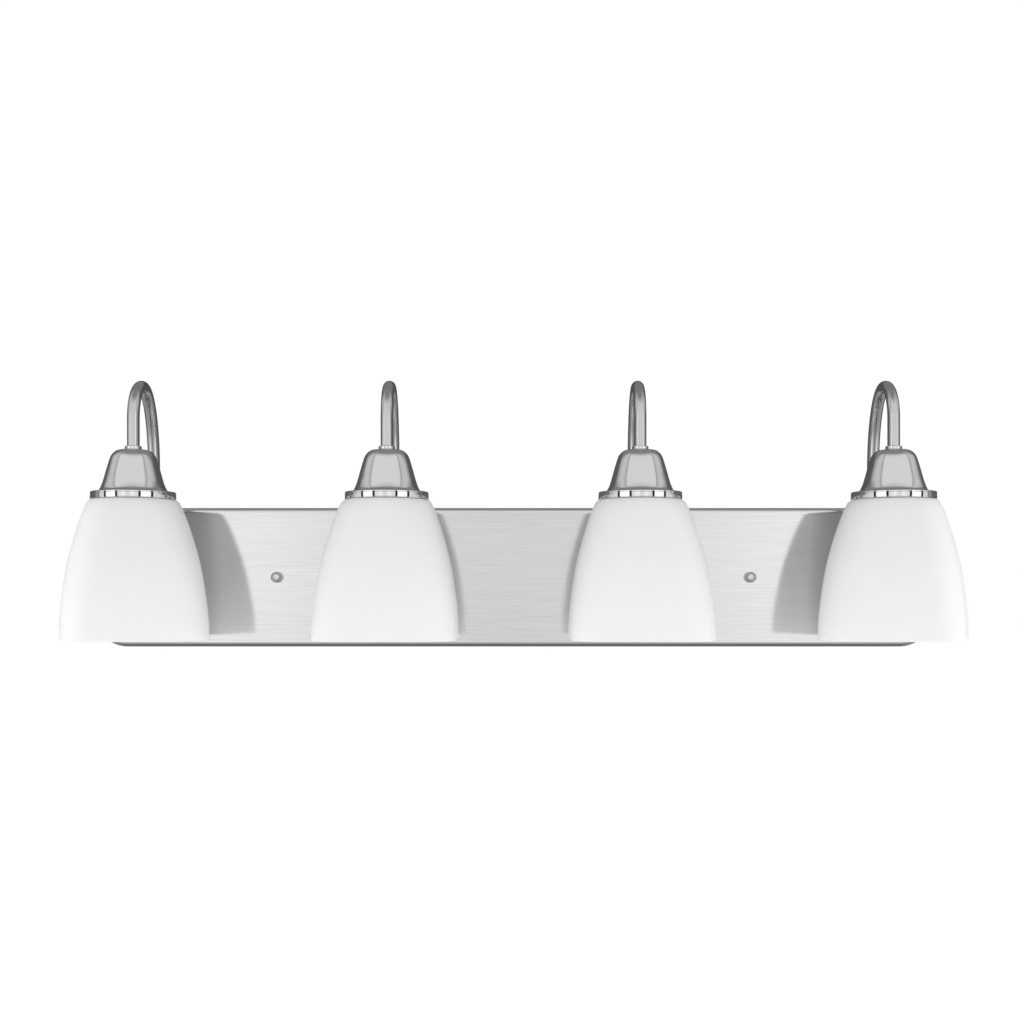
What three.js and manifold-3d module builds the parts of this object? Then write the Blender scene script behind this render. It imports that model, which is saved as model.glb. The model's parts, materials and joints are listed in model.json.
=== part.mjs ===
// Four-light vanity bar: a wall pan with four gooseneck arms, each carrying a bell cup and a soft-square
// glass shade that opens downwards.
// Units are millimetres. The wall is the plane y = 0, the light faces -Y, +X is to the right, +Z is up.
// The origin is the middle of the mounting strap's back face, level with the pan's mid-height.

import * as THREE from 'three';
import { mergeVertices } from 'three/addons/utils/BufferGeometryUtils.js';
import Module from 'manifold-3d';

const wasm = await Module();
wasm.setup();

// ---- driving dimensions ----

const clearance = 0.3;          // between pieces that touch

// lights
const lightCount = 4;
const lightSpacing = 212.4;
const outerShadeTurn = 19;      // degrees that the end shades are turned towards the middle

// pan (back plate)
const panOverhang = 59.4;       // past the end lights' axes
const panHeight = 125;
const panDepth = 22;
const panSheet = 1.2;
const panCornerRadius = 30;
const panRollRadius = 4.5;

// arms
const armRadius = 5.2;
const armBoreRadius = 3.9;
const archFrontRadius = 30;
const archRearReach = 38;       // depth of the arch's rear half, a quarter of an ellipse
const archRearDrop = 70;        // height of the same quarter
const armBendRadius = 18;
const armEntryDrop = 17;        // from the pan's top edge to the arm's hole
const armTail = 10;             // threaded end behind the pan's face
const armSeatRadius = 8.5;
const armSeatThickness = 2.5;
const armIntoSocket = 9;
const springHeight = 68.7;      // where the arch starts at the front, above the shade's seat

// cup, sizes from its flange's underside upwards
const cupHeight = 41.9;
const cupWall = 1.5;
const flangeThickness = 6.4;
const flangeInset = 1.5;        // the flange stays inside the glass's neck
const flangeRoof = 2.2;
const flangeEdge = 0.8;
const filletReach = 1.8;        // from the bell's side out to its fillet's end
const filletRise = 0.6;
const crownInset = 3.7;         // the bell's flat top inside its side's top
const collarRadius = 6.85;
const collarHeight = 2.8;
const collarEdge = 0.6;

// shade
const shadeSeatHeight = 64.1;   // cup flange's underside above the pan's mid-height
const shadeHeight = 116.7;
const shadeHalfWidth = 59.2;
const shadeCornerRadius = 30;
const shadeNeckMargin = 17.1;   // glass past the socket's barrel, at the neck
const shadeWall = 3.6;
const shadeShoulder = 1.8;
const shadeHolePlay = 1;        // between the socket's barrel and the glass
const shadeToPan = 14.7;        // left when a shade's corner passes the pan

// socket and its ring
const socketRadius = 19.4;
const socketNeckRadius = 15;
const socketNeckHeight = 14;
const socketHeight = 56;
const socketRise = 33;          // socket's top above the shade's seat
const shellBoreRadius = 13.4;
const shellWall = 0.9;
const shellInset = 1;           // the shell's mouth inside the socket's
const shellTopGap = 3;          // from the shell's top up to the bulb's tip
const contactDepth = 28;        // from the socket's mouth
const contactRadius = 4;
const contactThickness = 1.2;
const armSeatDrop = 1;          // the arm's end above the floor of its pocket
const leadPassageRadius = 2.4;
const ringHeight = 6.2;
const ringWidth = 7.5;
const ringLip = 2;

// bulb
const bulbRadius = 30;
const bulbLength = 107;
const bulbWall = 1;
const baseRadius = 13;
const baseHeight = 24.8;
const baseOverlap = 6;          // the glass neck's height inside the base
const baseFloor = 2;
const bulbTipGap = 1.8;         // from the centre contact's seat

// strap, studs and small parts
const strapEndMargin = 15;
const strapHeight = 25;
const strapThickness = 2.5;
const boxSlotOffset = 44.5;
const boxSlotLength = 12;
const boxSlotWidth = 4.8;
const studRadius = 2.1;
const studReach = 5;            // past the pan's face
const nutAcrossFlats = 9;
const nutThickness = 3;
const capNutRadius = 4.75;
const capNutHeight = 8;
const lockNutAcrossFlats = 16;
const lockNutThickness = 3.5;
const groundScrewOffset = 80;
const groundScrewRadius = 2;
const groundHoleRadius = 2.3;
const groundHeadRadius = 4;
const groundHeadHeight = 2.2;
const groundHeadSide = 1.2;
const groundHeadTopRadius = 2.8;
const groundScrewRecess = 0.4;  // the screw's end inside the strap's back face
const wellRadius = 2.4;
const wellDepth = 3;
const blockLength = 48;
const blockHeight = 17;
const blockDepth = 11;
const leadRadius = 1.6;
const leadSlack = 2.5;          // the lead's run behind the block's middle

// ---- derived places ----

const shadeNeckRadius = socketRadius + shadeNeckMargin;
const shadeHoleRadius = socketRadius + shadeHolePlay;
const flangeRadius = shadeNeckRadius - flangeInset;

const shadeFlat = shadeHalfWidth - shadeCornerRadius;
const shadeSwing = shadeFlat * Math.SQRT2 + shadeCornerRadius;
const archReach = archFrontRadius + archRearReach;
const axisReach = Math.max(archReach + armBendRadius, shadeSwing + shadeToPan);
const axisY = -(panDepth + axisReach);
const panLength = (lightCount - 1) * lightSpacing + 2 * panOverhang;
const armEntryZ = panHeight / 2 - armEntryDrop;
const springZ = shadeSeatHeight + springHeight;
const cupTopZ = shadeSeatHeight + cupHeight;
const shadeTopZ = shadeSeatHeight - clearance;
const shadeRimZ = shadeTopZ - shadeHeight;
const socketTopZ = shadeSeatHeight + socketRise;
const socketMouthZ = socketTopZ - socketHeight;
const armEndZ = socketTopZ - armIntoSocket;
const contactZ = socketMouthZ + contactDepth;
const bulbTopZ = contactZ - bulbTipGap;
const strapLength = 2 * (lightSpacing + strapEndMargin);
const studX = lightSpacing;

// ---- finishes ----

const finish = (color, roughness, metalness) => new THREE.MeshStandardMaterial({ color, roughness, metalness });
const satinNickel = finish(0xcac7c1, 0.34, 1);
const polishedNickel = finish(0xd2d0cb, 0.12, 1);
const frostedGlass = finish(0xf2f2f0, 0.45, 0);
const bulbGlass = finish(0xf7f6f0, 0.25, 0);
const phenolic = finish(0x1e1e20, 0.5, 0);
const brass = finish(0xc9a45a, 0.35, 1);
const aluminium = finish(0xc4c6c8, 0.4, 1);
const zincSteel = finish(0xb4b6b6, 0.45, 1);
const greenScrew = finish(0x3f7d4a, 0.45, 1);
const leadSheath = finish(0xe8e4da, 0.6, 0);
const blockNylon = finish(0xe6e2d6, 0.55, 0);

const object = new THREE.Group();

// ---- helpers ----

// Vertices merged, slivers dropped and every face turned outwards.
function closedBody(geometry) {
  geometry.deleteAttribute('normal');
  geometry.deleteAttribute('uv');
  const merged = mergeVertices(geometry, 1e-4);
  const index = [];
  const source = merged.index.array;
  const p = merged.attributes.position;
  const corner = new THREE.Vector3();
  const second = new THREE.Vector3();
  const third = new THREE.Vector3();
  let volume = 0;
  for (let i = 0; i < source.length; i += 3) {
    const [a, b, c] = [source[i], source[i + 1], source[i + 2]];
    if (a === b || b === c || c === a) continue;
    index.push(a, b, c);
    corner.fromBufferAttribute(p, a);
    second.fromBufferAttribute(p, b);
    third.fromBufferAttribute(p, c);
    volume += corner.dot(second.cross(third));
  }
  merged.setIndex(volume < 0 ? index.reverse() : index);
  return merged;
}

function toSolid(geometry) {
  const body = closedBody(geometry);
  const vertProperties = new Float32Array(body.attributes.position.array);
  const triVerts = new Uint32Array(body.index.array);
  return new wasm.Manifold(new wasm.Mesh({ numProp: 3, vertProperties, triVerts }));
}

function toGeometry(solid) {
  const mesh = solid.getMesh();
  const geometry = new THREE.BufferGeometry();
  geometry.setAttribute('position', new THREE.BufferAttribute(mesh.vertProperties, 3));
  geometry.setIndex(new THREE.BufferAttribute(mesh.triVerts, 1));
  return geometry;
}

function cut(geometry, tools) {
  return toGeometry(tools.reduce((solid, tool) => solid.subtract(toSolid(tool)), toSolid(geometry)));
}

function addPiece(name, geometry, material, x = 0, y = 0, turn = 0) {
  const mesh = new THREE.Mesh(closedBody(geometry), material);
  mesh.name = name;
  mesh.position.set(x, y, 0);
  mesh.rotation.z = THREE.MathUtils.degToRad(turn);
  object.add(mesh);
}

// A body turned about the Z axis from [radius, z] points.
function turned(outline, segments) {
  const points = outline.map(([r, z]) => new THREE.Vector2(r, z));
  return new THREE.LatheGeometry(points, segments).rotateX(Math.PI / 2);
}

// A turned ring: the outline runs once round the section and closes on its first point.
function turnedRing(outline, segments) {
  return turned([...outline, outline[0]], segments);
}

// Points of an arc from one angle to another, in degrees, about [centreR, centreZ].
function arcPoints(centreR, centreZ, radius, from, to, steps) {
  return Array.from({ length: steps + 1 }, (_, i) => {
    const angle = THREE.MathUtils.degToRad(from + (to - from) * i / steps);
    return [centreR + radius * Math.cos(angle), centreZ + radius * Math.sin(angle)];
  });
}

// The radius of a faceted bore's corners, for flats that stay clear of a round of the given radius.
function facetedBore(radius, segments) {
  return radius / Math.cos(Math.PI / segments);
}

// A rod along Y from the wall side (y0) to the front (y1).
function rodY(radius, y0, y1, x, z, segments) {
  const rod = new THREE.CylinderGeometry(radius, radius, Math.abs(y1 - y0), segments);
  return rod.translate(x, (y0 + y1) / 2, z);
}

// A skin lofted through rings with equal counts of points. Ends are capped, or joined to each other.
function loft(rings, joined) {
  const count = rings[0].length;
  const index = [];
  const spans = joined ? rings.length : rings.length - 1;
  for (let i = 0; i < spans; i++) {
    const here = i * count;
    const next = ((i + 1) % rings.length) * count;
    for (let j = 0; j < count; j++) {
      const k = (j + 1) % count;
      index.push(here + j, here + k, next + k, here + j, next + k, next + j);
    }
  }
  if (!joined) {
    const last = (rings.length - 1) * count;
    for (let j = 1; j < count - 1; j++) {
      index.push(0, j + 1, j);
      index.push(last, last + j, last + j + 1);
    }
  }
  const geometry = new THREE.BufferGeometry();
  geometry.setAttribute('position', new THREE.Float32BufferAttribute(rings.flat(2), 3));
  geometry.setIndex(index);
  return geometry;
}

// ---- pan ----

// The pan's outline at a given inset from its edge and a given y.
function panRing(inset, y) {
  const radius = panCornerRadius - inset;
  const cornerSteps = 5;
  const ring = [];
  for (let quarter = 0; quarter < 4; quarter++) {
    const signX = quarter === 0 || quarter === 3 ? 1 : -1;
    const signZ = quarter < 2 ? 1 : -1;
    const centreX = signX * (panLength / 2 - panCornerRadius);
    const centreZ = signZ * (panHeight / 2 - panCornerRadius);
    for (const [x, z] of arcPoints(centreX, centreZ, radius, quarter * 90, quarter * 90 + 90, cornerSteps)) {
      ring.push([x, y, z]);
    }
  }
  return ring;
}

// Rings over the pan's rolled edge, for its outer skin (inset 0) or its inner skin.
function panSkin(skinInset, rollRadius, steps) {
  const rollY = -panDepth + skinInset + rollRadius;
  const roll = arcPoints(skinInset + rollRadius, rollY, rollRadius, 180, 270, steps);
  return [panRing(skinInset, 0), ...roll.map(([inset, y]) => panRing(inset, y))];
}

function lightX(i) {
  return (i - (lightCount - 1) / 2) * lightSpacing;
}

const lights = Array.from({ length: lightCount }, (_, i) => i);
const sides = [['left', -1], ['right', 1]];

function makePan() {
  const outer = panSkin(0, panRollRadius, 4).reverse();
  const inner = panSkin(panSheet, panRollRadius - panSheet, 2);
  const through = (radius, x, z) => rodY(radius, -panDepth - 1, -panDepth + panSheet + 1, x, z, 16);
  const armHoles = lights.map((i) => through(armRadius + clearance, lightX(i), armEntryZ));
  const studHoles = sides.map(([, side]) => through(studRadius + clearance, side * studX, 0));
  addPiece('back_plate', cut(loft([...outer, ...inner], false), [...armHoles, ...studHoles]), satinNickel);
}

// ---- arms ----

// The arm's centreline, in the plane of one light, as points with few steps where it runs straight.
function armRoute(rearY, endZ, bendSteps, archSteps) {
  const legY = axisY + archReach;
  const archY = axisY + archFrontRadius;
  const rearSpringZ = springZ + archFrontRadius - archRearDrop;
  const bend = arcPoints(legY + armBendRadius, armEntryZ + armBendRadius, armBendRadius, 270, 180, bendSteps);
  const rearArch = arcPoints(0, 0, 1, 0, 90, archSteps).slice(0, archSteps)
    .map(([along, up]) => [archY + archRearReach * along, rearSpringZ + archRearDrop * up]);
  const frontArch = arcPoints(archY, springZ, archFrontRadius, 90, 180, archSteps);
  return [[rearY, armEntryZ], ...bend, ...rearArch, ...frontArch, [axisY, endZ]];
}

// A curve with one station at each given point, so that straight runs stay plain.
class StationCurve extends THREE.Curve {
  constructor(points) {
    super();
    this.points = points;
    this.steps = points.length - 1;
  }

  getUtoTmapping(u) {
    return u;
  }

  getPoint(t, target = new THREE.Vector3()) {
    const place = Math.min(t * this.steps, this.steps - 1e-9);
    const i = Math.floor(place);
    return target.lerpVectors(this.points[i], this.points[i + 1], place - i);
  }

  getTangent(t, target = new THREE.Vector3()) {
    const i = Math.round(t * this.steps);
    const before = this.points[Math.max(i - 1, 0)];
    const after = this.points[Math.min(i + 1, this.steps)];
    return target.subVectors(after, before).normalize();
  }
}

function circleShape(radius, segments) {
  const points = arcPoints(0, 0, radius, 0, 360, segments).slice(0, segments);
  return new THREE.Shape(points.map(([x, y]) => new THREE.Vector2(x, y)));
}

function sweep(shape, points) {
  const extrudePath = new StationCurve(points);
  return new THREE.ExtrudeGeometry(shape, { steps: points.length - 1, extrudePath });
}

function makeArm(i) {
  const section = circleShape(armRadius, 10);
  section.holes.push(circleShape(armBoreRadius, 6));
  const rearY = -panDepth + armTail;
  const route = armRoute(rearY, armEndZ, 3, 5).map(([y, z]) => new THREE.Vector3(0, y, z));
  const seatFront = -panDepth - clearance - armSeatThickness;
  const seat = rodY(armSeatRadius, -panDepth - clearance, seatFront, 0, armEntryZ, 14);
  const seatBore = rodY((armRadius + armBoreRadius) / 2, -panDepth, seatFront - 1, 0, armEntryZ, 10);
  const seatRing = toSolid(seat).subtract(toSolid(seatBore));
  const arm = toSolid(sweep(section, route)).add(seatRing);
  addPiece(`arm_tube_${i + 1}`, toGeometry(arm), satinNickel, lightX(i));
}

function hexagonWithHole(acrossFlats, holeRadius) {
  const shape = circleShape(acrossFlats / Math.sqrt(3), 6);
  shape.holes.push(circleShape(facetedBore(holeRadius, 10), 10));
  return shape;
}

// A plate of the given outline standing on the XZ plane, from y0 towards the front.
function plateY(shape, thickness, y0) {
  const options = { depth: thickness, bevelEnabled: false };
  return new THREE.ExtrudeGeometry(shape, options).rotateX(Math.PI / 2).translate(0, y0, 0);
}

function makeLockNut(i) {
  const shape = hexagonWithHole(lockNutAcrossFlats, armRadius + clearance);
  const backY = -panDepth + panSheet + clearance + lockNutThickness;
  const nut = plateY(shape, lockNutThickness, backY).translate(0, 0, armEntryZ);
  addPiece(`arm_lock_nut_${i + 1}`, nut, zincSteel, lightX(i));
}

function makeCollar(i) {
  const bore = armRadius + clearance;
  const bottom = cupTopZ + clearance;
  const top = bottom + collarHeight;
  const outline = [
    [bore, bottom],
    [collarRadius, bottom],
    [collarRadius, top - collarEdge],
    [collarRadius - collarEdge, top],
    [bore, top],
  ];
  addPiece(`arm_collar_${i + 1}`, turnedRing(outline, 12), satinNickel, lightX(i), axisY);
}

// ---- cup, socket and ring ----

// The bell's side from under its domed top down to its fillet, as [radius past the socket's, height above the
// flange's underside].
const bellSide = [[-3, 39.1], [-1, 36.2], [2.1, 26.5], [5.4, 14.8], [7.3, 9.9]];

function makeCup(i) {
  const z = (height) => shadeSeatHeight + height;
  const bore = armRadius + clearance;
  const recess = flangeThickness - flangeRoof;
  const side = bellSide.map(([r, height]) => [socketRadius + r, z(height)]);
  const bellFoot = side[side.length - 1][0];
  const inside = side.filter((point, j) => j % 2 === 0).map(([r, height]) => [r - cupWall, height]);
  const outer = [
    [bore, z(cupHeight)],
    [side[0][0] - crownInset, z(cupHeight)],
    ...side,
    [bellFoot + filletReach, z(flangeThickness + filletRise)],
    [flangeRadius - flangeEdge, z(flangeThickness)],
    [flangeRadius, z(flangeThickness - flangeEdge)],
    [flangeRadius, z(0)],
  ];
  const inner = [
    [flangeRadius - cupWall, z(0)],
    [flangeRadius - cupWall, z(recess)],
    [bellFoot, z(recess)],
    ...inside.reverse(),
    [bore, z(cupHeight - cupWall)],
  ];
  addPiece(`cup_${i + 1}`, turnedRing([...outer, ...inner], 16), satinNickel, lightX(i), axisY);
}

function makeSocket(i) {
  const shoulderZ = socketTopZ - socketNeckHeight;
  const chamberRadius = shellBoreRadius + shellWall + clearance;
  const armSeatZ = armEndZ - armSeatDrop;
  const armPocket = armRadius + clearance;
  const outline = [
    [chamberRadius, socketMouthZ],
    [socketRadius, socketMouthZ],
    [socketRadius, shoulderZ],
    [socketNeckRadius, shoulderZ],
    [socketNeckRadius, socketTopZ],
    [armPocket, socketTopZ],
    [armPocket, armSeatZ],
    [leadPassageRadius, armSeatZ],
    [leadPassageRadius, contactZ],
    [chamberRadius, contactZ],
  ];
  addPiece(`socket_body_${i + 1}`, turnedRing(outline, 12), phenolic, lightX(i), axisY);
  const shellRadius = shellBoreRadius + shellWall;
  const shellTop = bulbTopZ - shellTopGap;
  const shellMouthZ = socketMouthZ + shellInset;
  const shell = [
    [shellBoreRadius, shellMouthZ],
    [shellRadius, shellMouthZ],
    [shellRadius, shellTop],
    [shellBoreRadius, shellTop],
  ];
  addPiece(`socket_shell_${i + 1}`, turnedRing(shell, 12), aluminium, lightX(i), axisY);
  const contact = new THREE.CylinderGeometry(contactRadius, contactRadius, contactThickness, 10);
  contact.rotateX(Math.PI / 2).translate(0, 0, contactZ - clearance - contactThickness / 2);
  addPiece(`centre_contact_${i + 1}`, contact, brass, lightX(i), axisY);
}

function makeRing(i) {
  const segments = 14;
  const bore = facetedBore(socketRadius + clearance, segments);
  const outer = bore + ringWidth;
  const top = shadeTopZ - shadeWall - clearance;
  const bottom = top - ringHeight;
  const outline = [
    [bore, bottom],
    [bore + ringLip, bottom],
    [bore + ringLip, top - ringLip],
    [outer, top - ringLip],
    [outer, top],
    [bore, top],
  ];
  addPiece(`retaining_ring_${i + 1}`, turnedRing(outline, segments), aluminium, lightX(i), axisY);
}

// ---- shade ----

// How far the shade has opened from its neck (0) to its rim (1), at heights as shares of its height.
const shadeFlare = [
  [0, 1], [0.16, 0.977], [0.33, 0.892], [0.5, 0.766], [0.62, 0.636], [0.74, 0.472], [0.84, 0.32], [0.93, 0.16],
];

// One ring of the soft-square section: flat sides of half-length `flat` and corners rounded to fit.
function shadeRing(halfWidth, flat, z) {
  const count = 24;
  return Array.from({ length: count }, (_, j) => {
    const angle = j * 2 * Math.PI / count;
    const quarter = Math.round(angle / (Math.PI / 2)) * Math.PI / 2;
    const off = Math.abs(angle - quarter);
    const radius = halfWidth - flat;
    const reach = flat * (Math.cos(off) + Math.sin(off));
    const corner = reach + Math.sqrt(radius ** 2 - flat ** 2 * (1 - Math.sin(2 * off)));
    const rho = Math.tan(off) * halfWidth <= flat ? halfWidth / Math.cos(off) : corner;
    return [rho * Math.cos(angle), rho * Math.sin(angle), z];
  });
}

// Flat sides grow from nothing at the round neck to their full length at the rim.
function shadeFlatAt(share) {
  return shadeFlat * Math.max(1 - share, 0) ** 0.6;
}

function makeShade(i) {
  const skin = (inset) => ([share, flare]) => {
    const halfWidth = THREE.MathUtils.lerp(shadeNeckRadius, shadeHalfWidth, flare) - inset;
    return shadeRing(halfWidth, shadeFlatAt(share), shadeRimZ + shadeHeight * share);
  };
  const outer = shadeFlare.map(skin(0));
  outer.push(shadeRing(shadeNeckRadius + 0.6, 0, shadeTopZ - shadeShoulder));
  outer.push(shadeRing(shadeNeckRadius - 1.2, 0, shadeTopZ));
  const inner = shadeFlare.filter((point, j) => j % 3 === 0 || j === shadeFlare.length - 1).map(skin(shadeWall));
  inner.push(shadeRing(shadeNeckRadius - shadeWall - 2, 0, shadeTopZ - shadeWall));
  const hole = [shadeTopZ, shadeTopZ - shadeWall].map((z) => shadeRing(shadeHoleRadius, 0, z));
  const rings = [...outer, ...hole, ...inner.reverse()];
  const turn = i === 0 ? outerShadeTurn : i === lightCount - 1 ? -outerShadeTurn : 0;
  addPiece(`shade_${i + 1}`, loft(rings, true), frostedGlass, lightX(i), axisY, turn);
}

// ---- bulb ----

function makeBulb(i) {
  const baseBottom = bulbTopZ - baseHeight;
  const neckOuter = baseRadius - 1.3;
  const neckTop = baseBottom + baseOverlap;
  const bulbBottom = bulbTopZ - bulbLength;
  const centreZ = bulbBottom + bulbRadius;
  const globe = (radius, steps) => arcPoints(0, centreZ, radius, -90, 40, steps);
  const neckSide = (radius) => [[radius + 4, baseBottom - 14], [radius, baseBottom - 3], [radius, neckTop]];
  const outer = [...globe(bulbRadius, 6), ...neckSide(neckOuter)];
  const inner = [...globe(bulbRadius - bulbWall, 4), ...neckSide(neckOuter - bulbWall)].reverse();
  outer[0][0] = 0;
  inner[inner.length - 1][0] = 0;
  addPiece(`bulb_glass_${i + 1}`, turned([...outer, ...inner], 12), bulbGlass, lightX(i), axisY);
  const cupInner = neckOuter + clearance;
  const base = [
    [0, neckTop + baseFloor],
    [cupInner, neckTop + baseFloor],
    [cupInner, baseBottom],
    [baseRadius, baseBottom],
    [baseRadius, bulbTopZ - 6],
    [5, bulbTopZ - 1.5],
    [4, bulbTopZ],
    [0, bulbTopZ],
  ];
  addPiece(`bulb_base_${i + 1}`, turned(base, 12), aluminium, lightX(i), axisY);
}

// ---- leads ----

// Each lead leaves its socket, follows its arm's bore into the pan and runs along it to the terminal block.
function makeLead(i) {
  const x = lightX(i);
  const side = Math.sign(x);
  const isEnd = i === 0 || i === lightCount - 1;
  const tailY = -panDepth + armTail;
  const inArm = armRoute(tailY, contactZ + 3, 3, 4).map(([y, z]) => new THREE.Vector3(x, y, z)).reverse();
  const portX = side * (blockLength / 2 + clearance);
  const portY = -strapThickness - clearance - blockDepth / 2;
  const portZ = (isEnd ? -1 : 1) * blockHeight / 5;
  const runY = portY + leadSlack;
  const across = (share, y, z) => new THREE.Vector3(THREE.MathUtils.lerp(x, portX, share), y, z);
  const outOfArm = [
    new THREE.Vector3(x - side * 1.5, tailY + 2.8, armEntryZ),
    new THREE.Vector3(x - side * 6, tailY + 5.4, armEntryZ - 0.5),
    new THREE.Vector3(x - side * 14, runY, armEntryZ - 2),
  ];
  const along = isEnd
    ? [across(0.2, runY, armEntryZ - 9), across(0.4, runY, 26), across(0.62, runY, 20), across(0.8, runY, 12)]
    : [across(0.4, runY, 28), across(0.65, portY, 13)];
  const intoBlock = [
    new THREE.Vector3(portX + side * 14, portY, portZ + (isEnd ? 1 : 2)),
    new THREE.Vector3(portX + side * 6, portY, portZ),
    new THREE.Vector3(portX, portY, portZ),
  ];
  const points = [...inArm, ...outOfArm, ...along, ...intoBlock];
  addPiece(`socket_lead_${i + 1}`, sweep(circleShape(leadRadius, 6), points), leadSheath);
}

// ---- strap and small parts ----

function slotPath(x, length, width) {
  const half = (length - width) / 2;
  const right = arcPoints(x + half, 0, width / 2, -90, 90, 4);
  const left = arcPoints(x - half, 0, width / 2, 90, 270, 4);
  return new THREE.Path([...right, ...left].map(([px, py]) => new THREE.Vector2(px, py)));
}

function makeStrap() {
  const corner = strapHeight / 2;
  const half = strapLength / 2 - corner;
  const outline = [...arcPoints(half, 0, corner, -90, 90, 6), ...arcPoints(-half, 0, corner, 90, 270, 6)];
  const shape = new THREE.Shape(outline.map(([x, y]) => new THREE.Vector2(x, y)));
  for (const [, side] of sides) {
    const studHole = 2 * (studRadius + clearance);
    shape.holes.push(slotPath(side * studX, studHole + 0.02, studHole));
    shape.holes.push(slotPath(side * boxSlotOffset, boxSlotLength, boxSlotWidth));
  }
  shape.holes.push(slotPath(groundScrewOffset, 2 * groundHoleRadius + 0.02, 2 * groundHoleRadius));
  addPiece('mounting_strap', plateY(shape, strapThickness, 0), zincSteel);
}

function makeStud(name, side) {
  const x = side * studX;
  const frontY = -panDepth - studReach;
  addPiece(`stud_${name}`, rodY(studRadius, -clearance, frontY, 0, 0, 12), zincSteel, x);
  const nutShape = hexagonWithHole(nutAcrossFlats, studRadius + clearance);
  const nutY = -strapThickness - clearance;
  addPiece(`stud_nut_${name}`, plateY(nutShape, nutThickness, nutY), zincSteel, x);
  const rim = -panDepth - clearance;
  const crown = rim - capNutHeight;
  const bore = studRadius + clearance;
  const outline = [
    [0, -frontY + clearance],
    [bore, -frontY + clearance],
    [bore, -rim],
    [capNutRadius, -rim],
    [capNutRadius, -crown - 2.4],
    [capNutRadius - 0.9, -crown - 0.8],
    [capNutRadius - 2.2, -crown],
    [0, -crown],
  ];
  addPiece(`cap_nut_${name}`, turned(outline, 12).rotateX(Math.PI / 2), satinNickel, x);
}

function makeGroundScrew() {
  const headY = strapThickness + clearance;
  const crown = headY + groundHeadHeight;
  const outline = [
    [0, groundScrewRecess],
    [groundScrewRadius, groundScrewRecess],
    [groundScrewRadius, headY],
    [groundHeadRadius, headY],
    [groundHeadRadius, headY + groundHeadSide],
    [groundHeadTopRadius, crown],
    [0, crown],
  ];
  addPiece('ground_screw', turned(outline, 12).rotateX(Math.PI / 2), greenScrew, groundScrewOffset);
}

function makeTerminalBlock() {
  const body = new THREE.BoxGeometry(blockLength, blockDepth, blockHeight);
  const backY = -strapThickness - clearance;
  body.translate(0, backY - blockDepth / 2, 0);
  const frontY = backY - blockDepth;
  const pitch = blockLength / 4.4;
  const wells = [-1.5, -0.5, 0.5, 1.5].flatMap((column) => [-1, 1].map((row) => (
    rodY(wellRadius, frontY + wellDepth, frontY - 1, column * pitch, row * blockHeight / 4, 10)
  )));
  addPiece('terminal_block', cut(body, wells), blockNylon);
}

makePan();
makeStrap();
for (const [name, side] of sides) {
  makeStud(name, side);
}
makeGroundScrew();
makeTerminalBlock();
for (const i of lights) {
  makeArm(i);
  makeLockNut(i);
  makeCollar(i);
  makeCup(i);
  makeSocket(i);
  makeRing(i);
  makeShade(i);
  makeBulb(i);
  makeLead(i);
}

export default object;
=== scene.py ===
"""A vanity light bar with four frosted shades, finished on its CAD frame.

Each class below models one sub-assembly in edit-mode steps, gives it its finish and hands it to the frame.
Lengths are in millimetres until a mesh is made, and every mesh is in metres in the row frame.
"""

import json
import logging
import math
from dataclasses import dataclass
from enum import Enum
from typing import Any, Callable, Sequence

import bpy
from mathutils import Matrix, Vector

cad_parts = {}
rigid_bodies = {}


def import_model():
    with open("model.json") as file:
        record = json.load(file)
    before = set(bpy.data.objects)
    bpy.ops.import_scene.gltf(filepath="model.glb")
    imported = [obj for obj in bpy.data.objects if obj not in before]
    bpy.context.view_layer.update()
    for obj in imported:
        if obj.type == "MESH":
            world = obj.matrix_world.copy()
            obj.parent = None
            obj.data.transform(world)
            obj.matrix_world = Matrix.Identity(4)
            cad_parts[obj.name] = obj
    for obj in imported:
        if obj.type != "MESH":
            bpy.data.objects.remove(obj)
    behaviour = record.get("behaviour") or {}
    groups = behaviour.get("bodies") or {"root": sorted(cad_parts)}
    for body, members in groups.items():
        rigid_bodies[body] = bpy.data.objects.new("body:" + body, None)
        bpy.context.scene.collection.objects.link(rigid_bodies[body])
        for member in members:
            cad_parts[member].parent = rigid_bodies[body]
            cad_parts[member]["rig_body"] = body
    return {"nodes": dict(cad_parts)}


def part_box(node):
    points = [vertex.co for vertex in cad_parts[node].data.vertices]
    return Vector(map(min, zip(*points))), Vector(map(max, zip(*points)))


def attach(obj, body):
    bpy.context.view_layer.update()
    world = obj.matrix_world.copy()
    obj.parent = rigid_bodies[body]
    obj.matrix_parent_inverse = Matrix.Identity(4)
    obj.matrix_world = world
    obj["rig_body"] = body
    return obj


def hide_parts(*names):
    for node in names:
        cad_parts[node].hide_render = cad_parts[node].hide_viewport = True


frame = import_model()

MM = 0.001

# the pitch of the lamp thread, on the shells and the bulbs
LAMP_PITCH = 3.6
TURNED_UV = "turned"

# turns what stands on the Z axis to the front
TO_FRONT = Matrix.Rotation(math.pi / 2, 4, "X")

Colour = tuple[float, float, float]
Outline = list[tuple[float, float]]
Ring = list[tuple[float, float, float]]
Wall = tuple[tuple[float, float, float], ...]

log = logging.getLogger("light_bar")


class Slot(Enum):
    """The record's material slots."""

    PLATE = "satin_nickel"
    ARM = "brushed_arm"
    POLISHED = "polished_nickel"
    SHADE = "frosted_glass"
    BULB = "bulb_glass"
    PHENOLIC = "phenolic"
    ALUMINIUM = "aluminium"
    BRASS = "brass"
    STEEL = "zinc_steel"
    GREEN = "green_screw"
    NYLON = "nylon"


class Grain(Enum):
    """The way in which a surface's fine lines run."""

    ALONG_X = "along_x"
    ROUND = "round"
    NONE = "none"


# ---- node graphs ----


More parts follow.
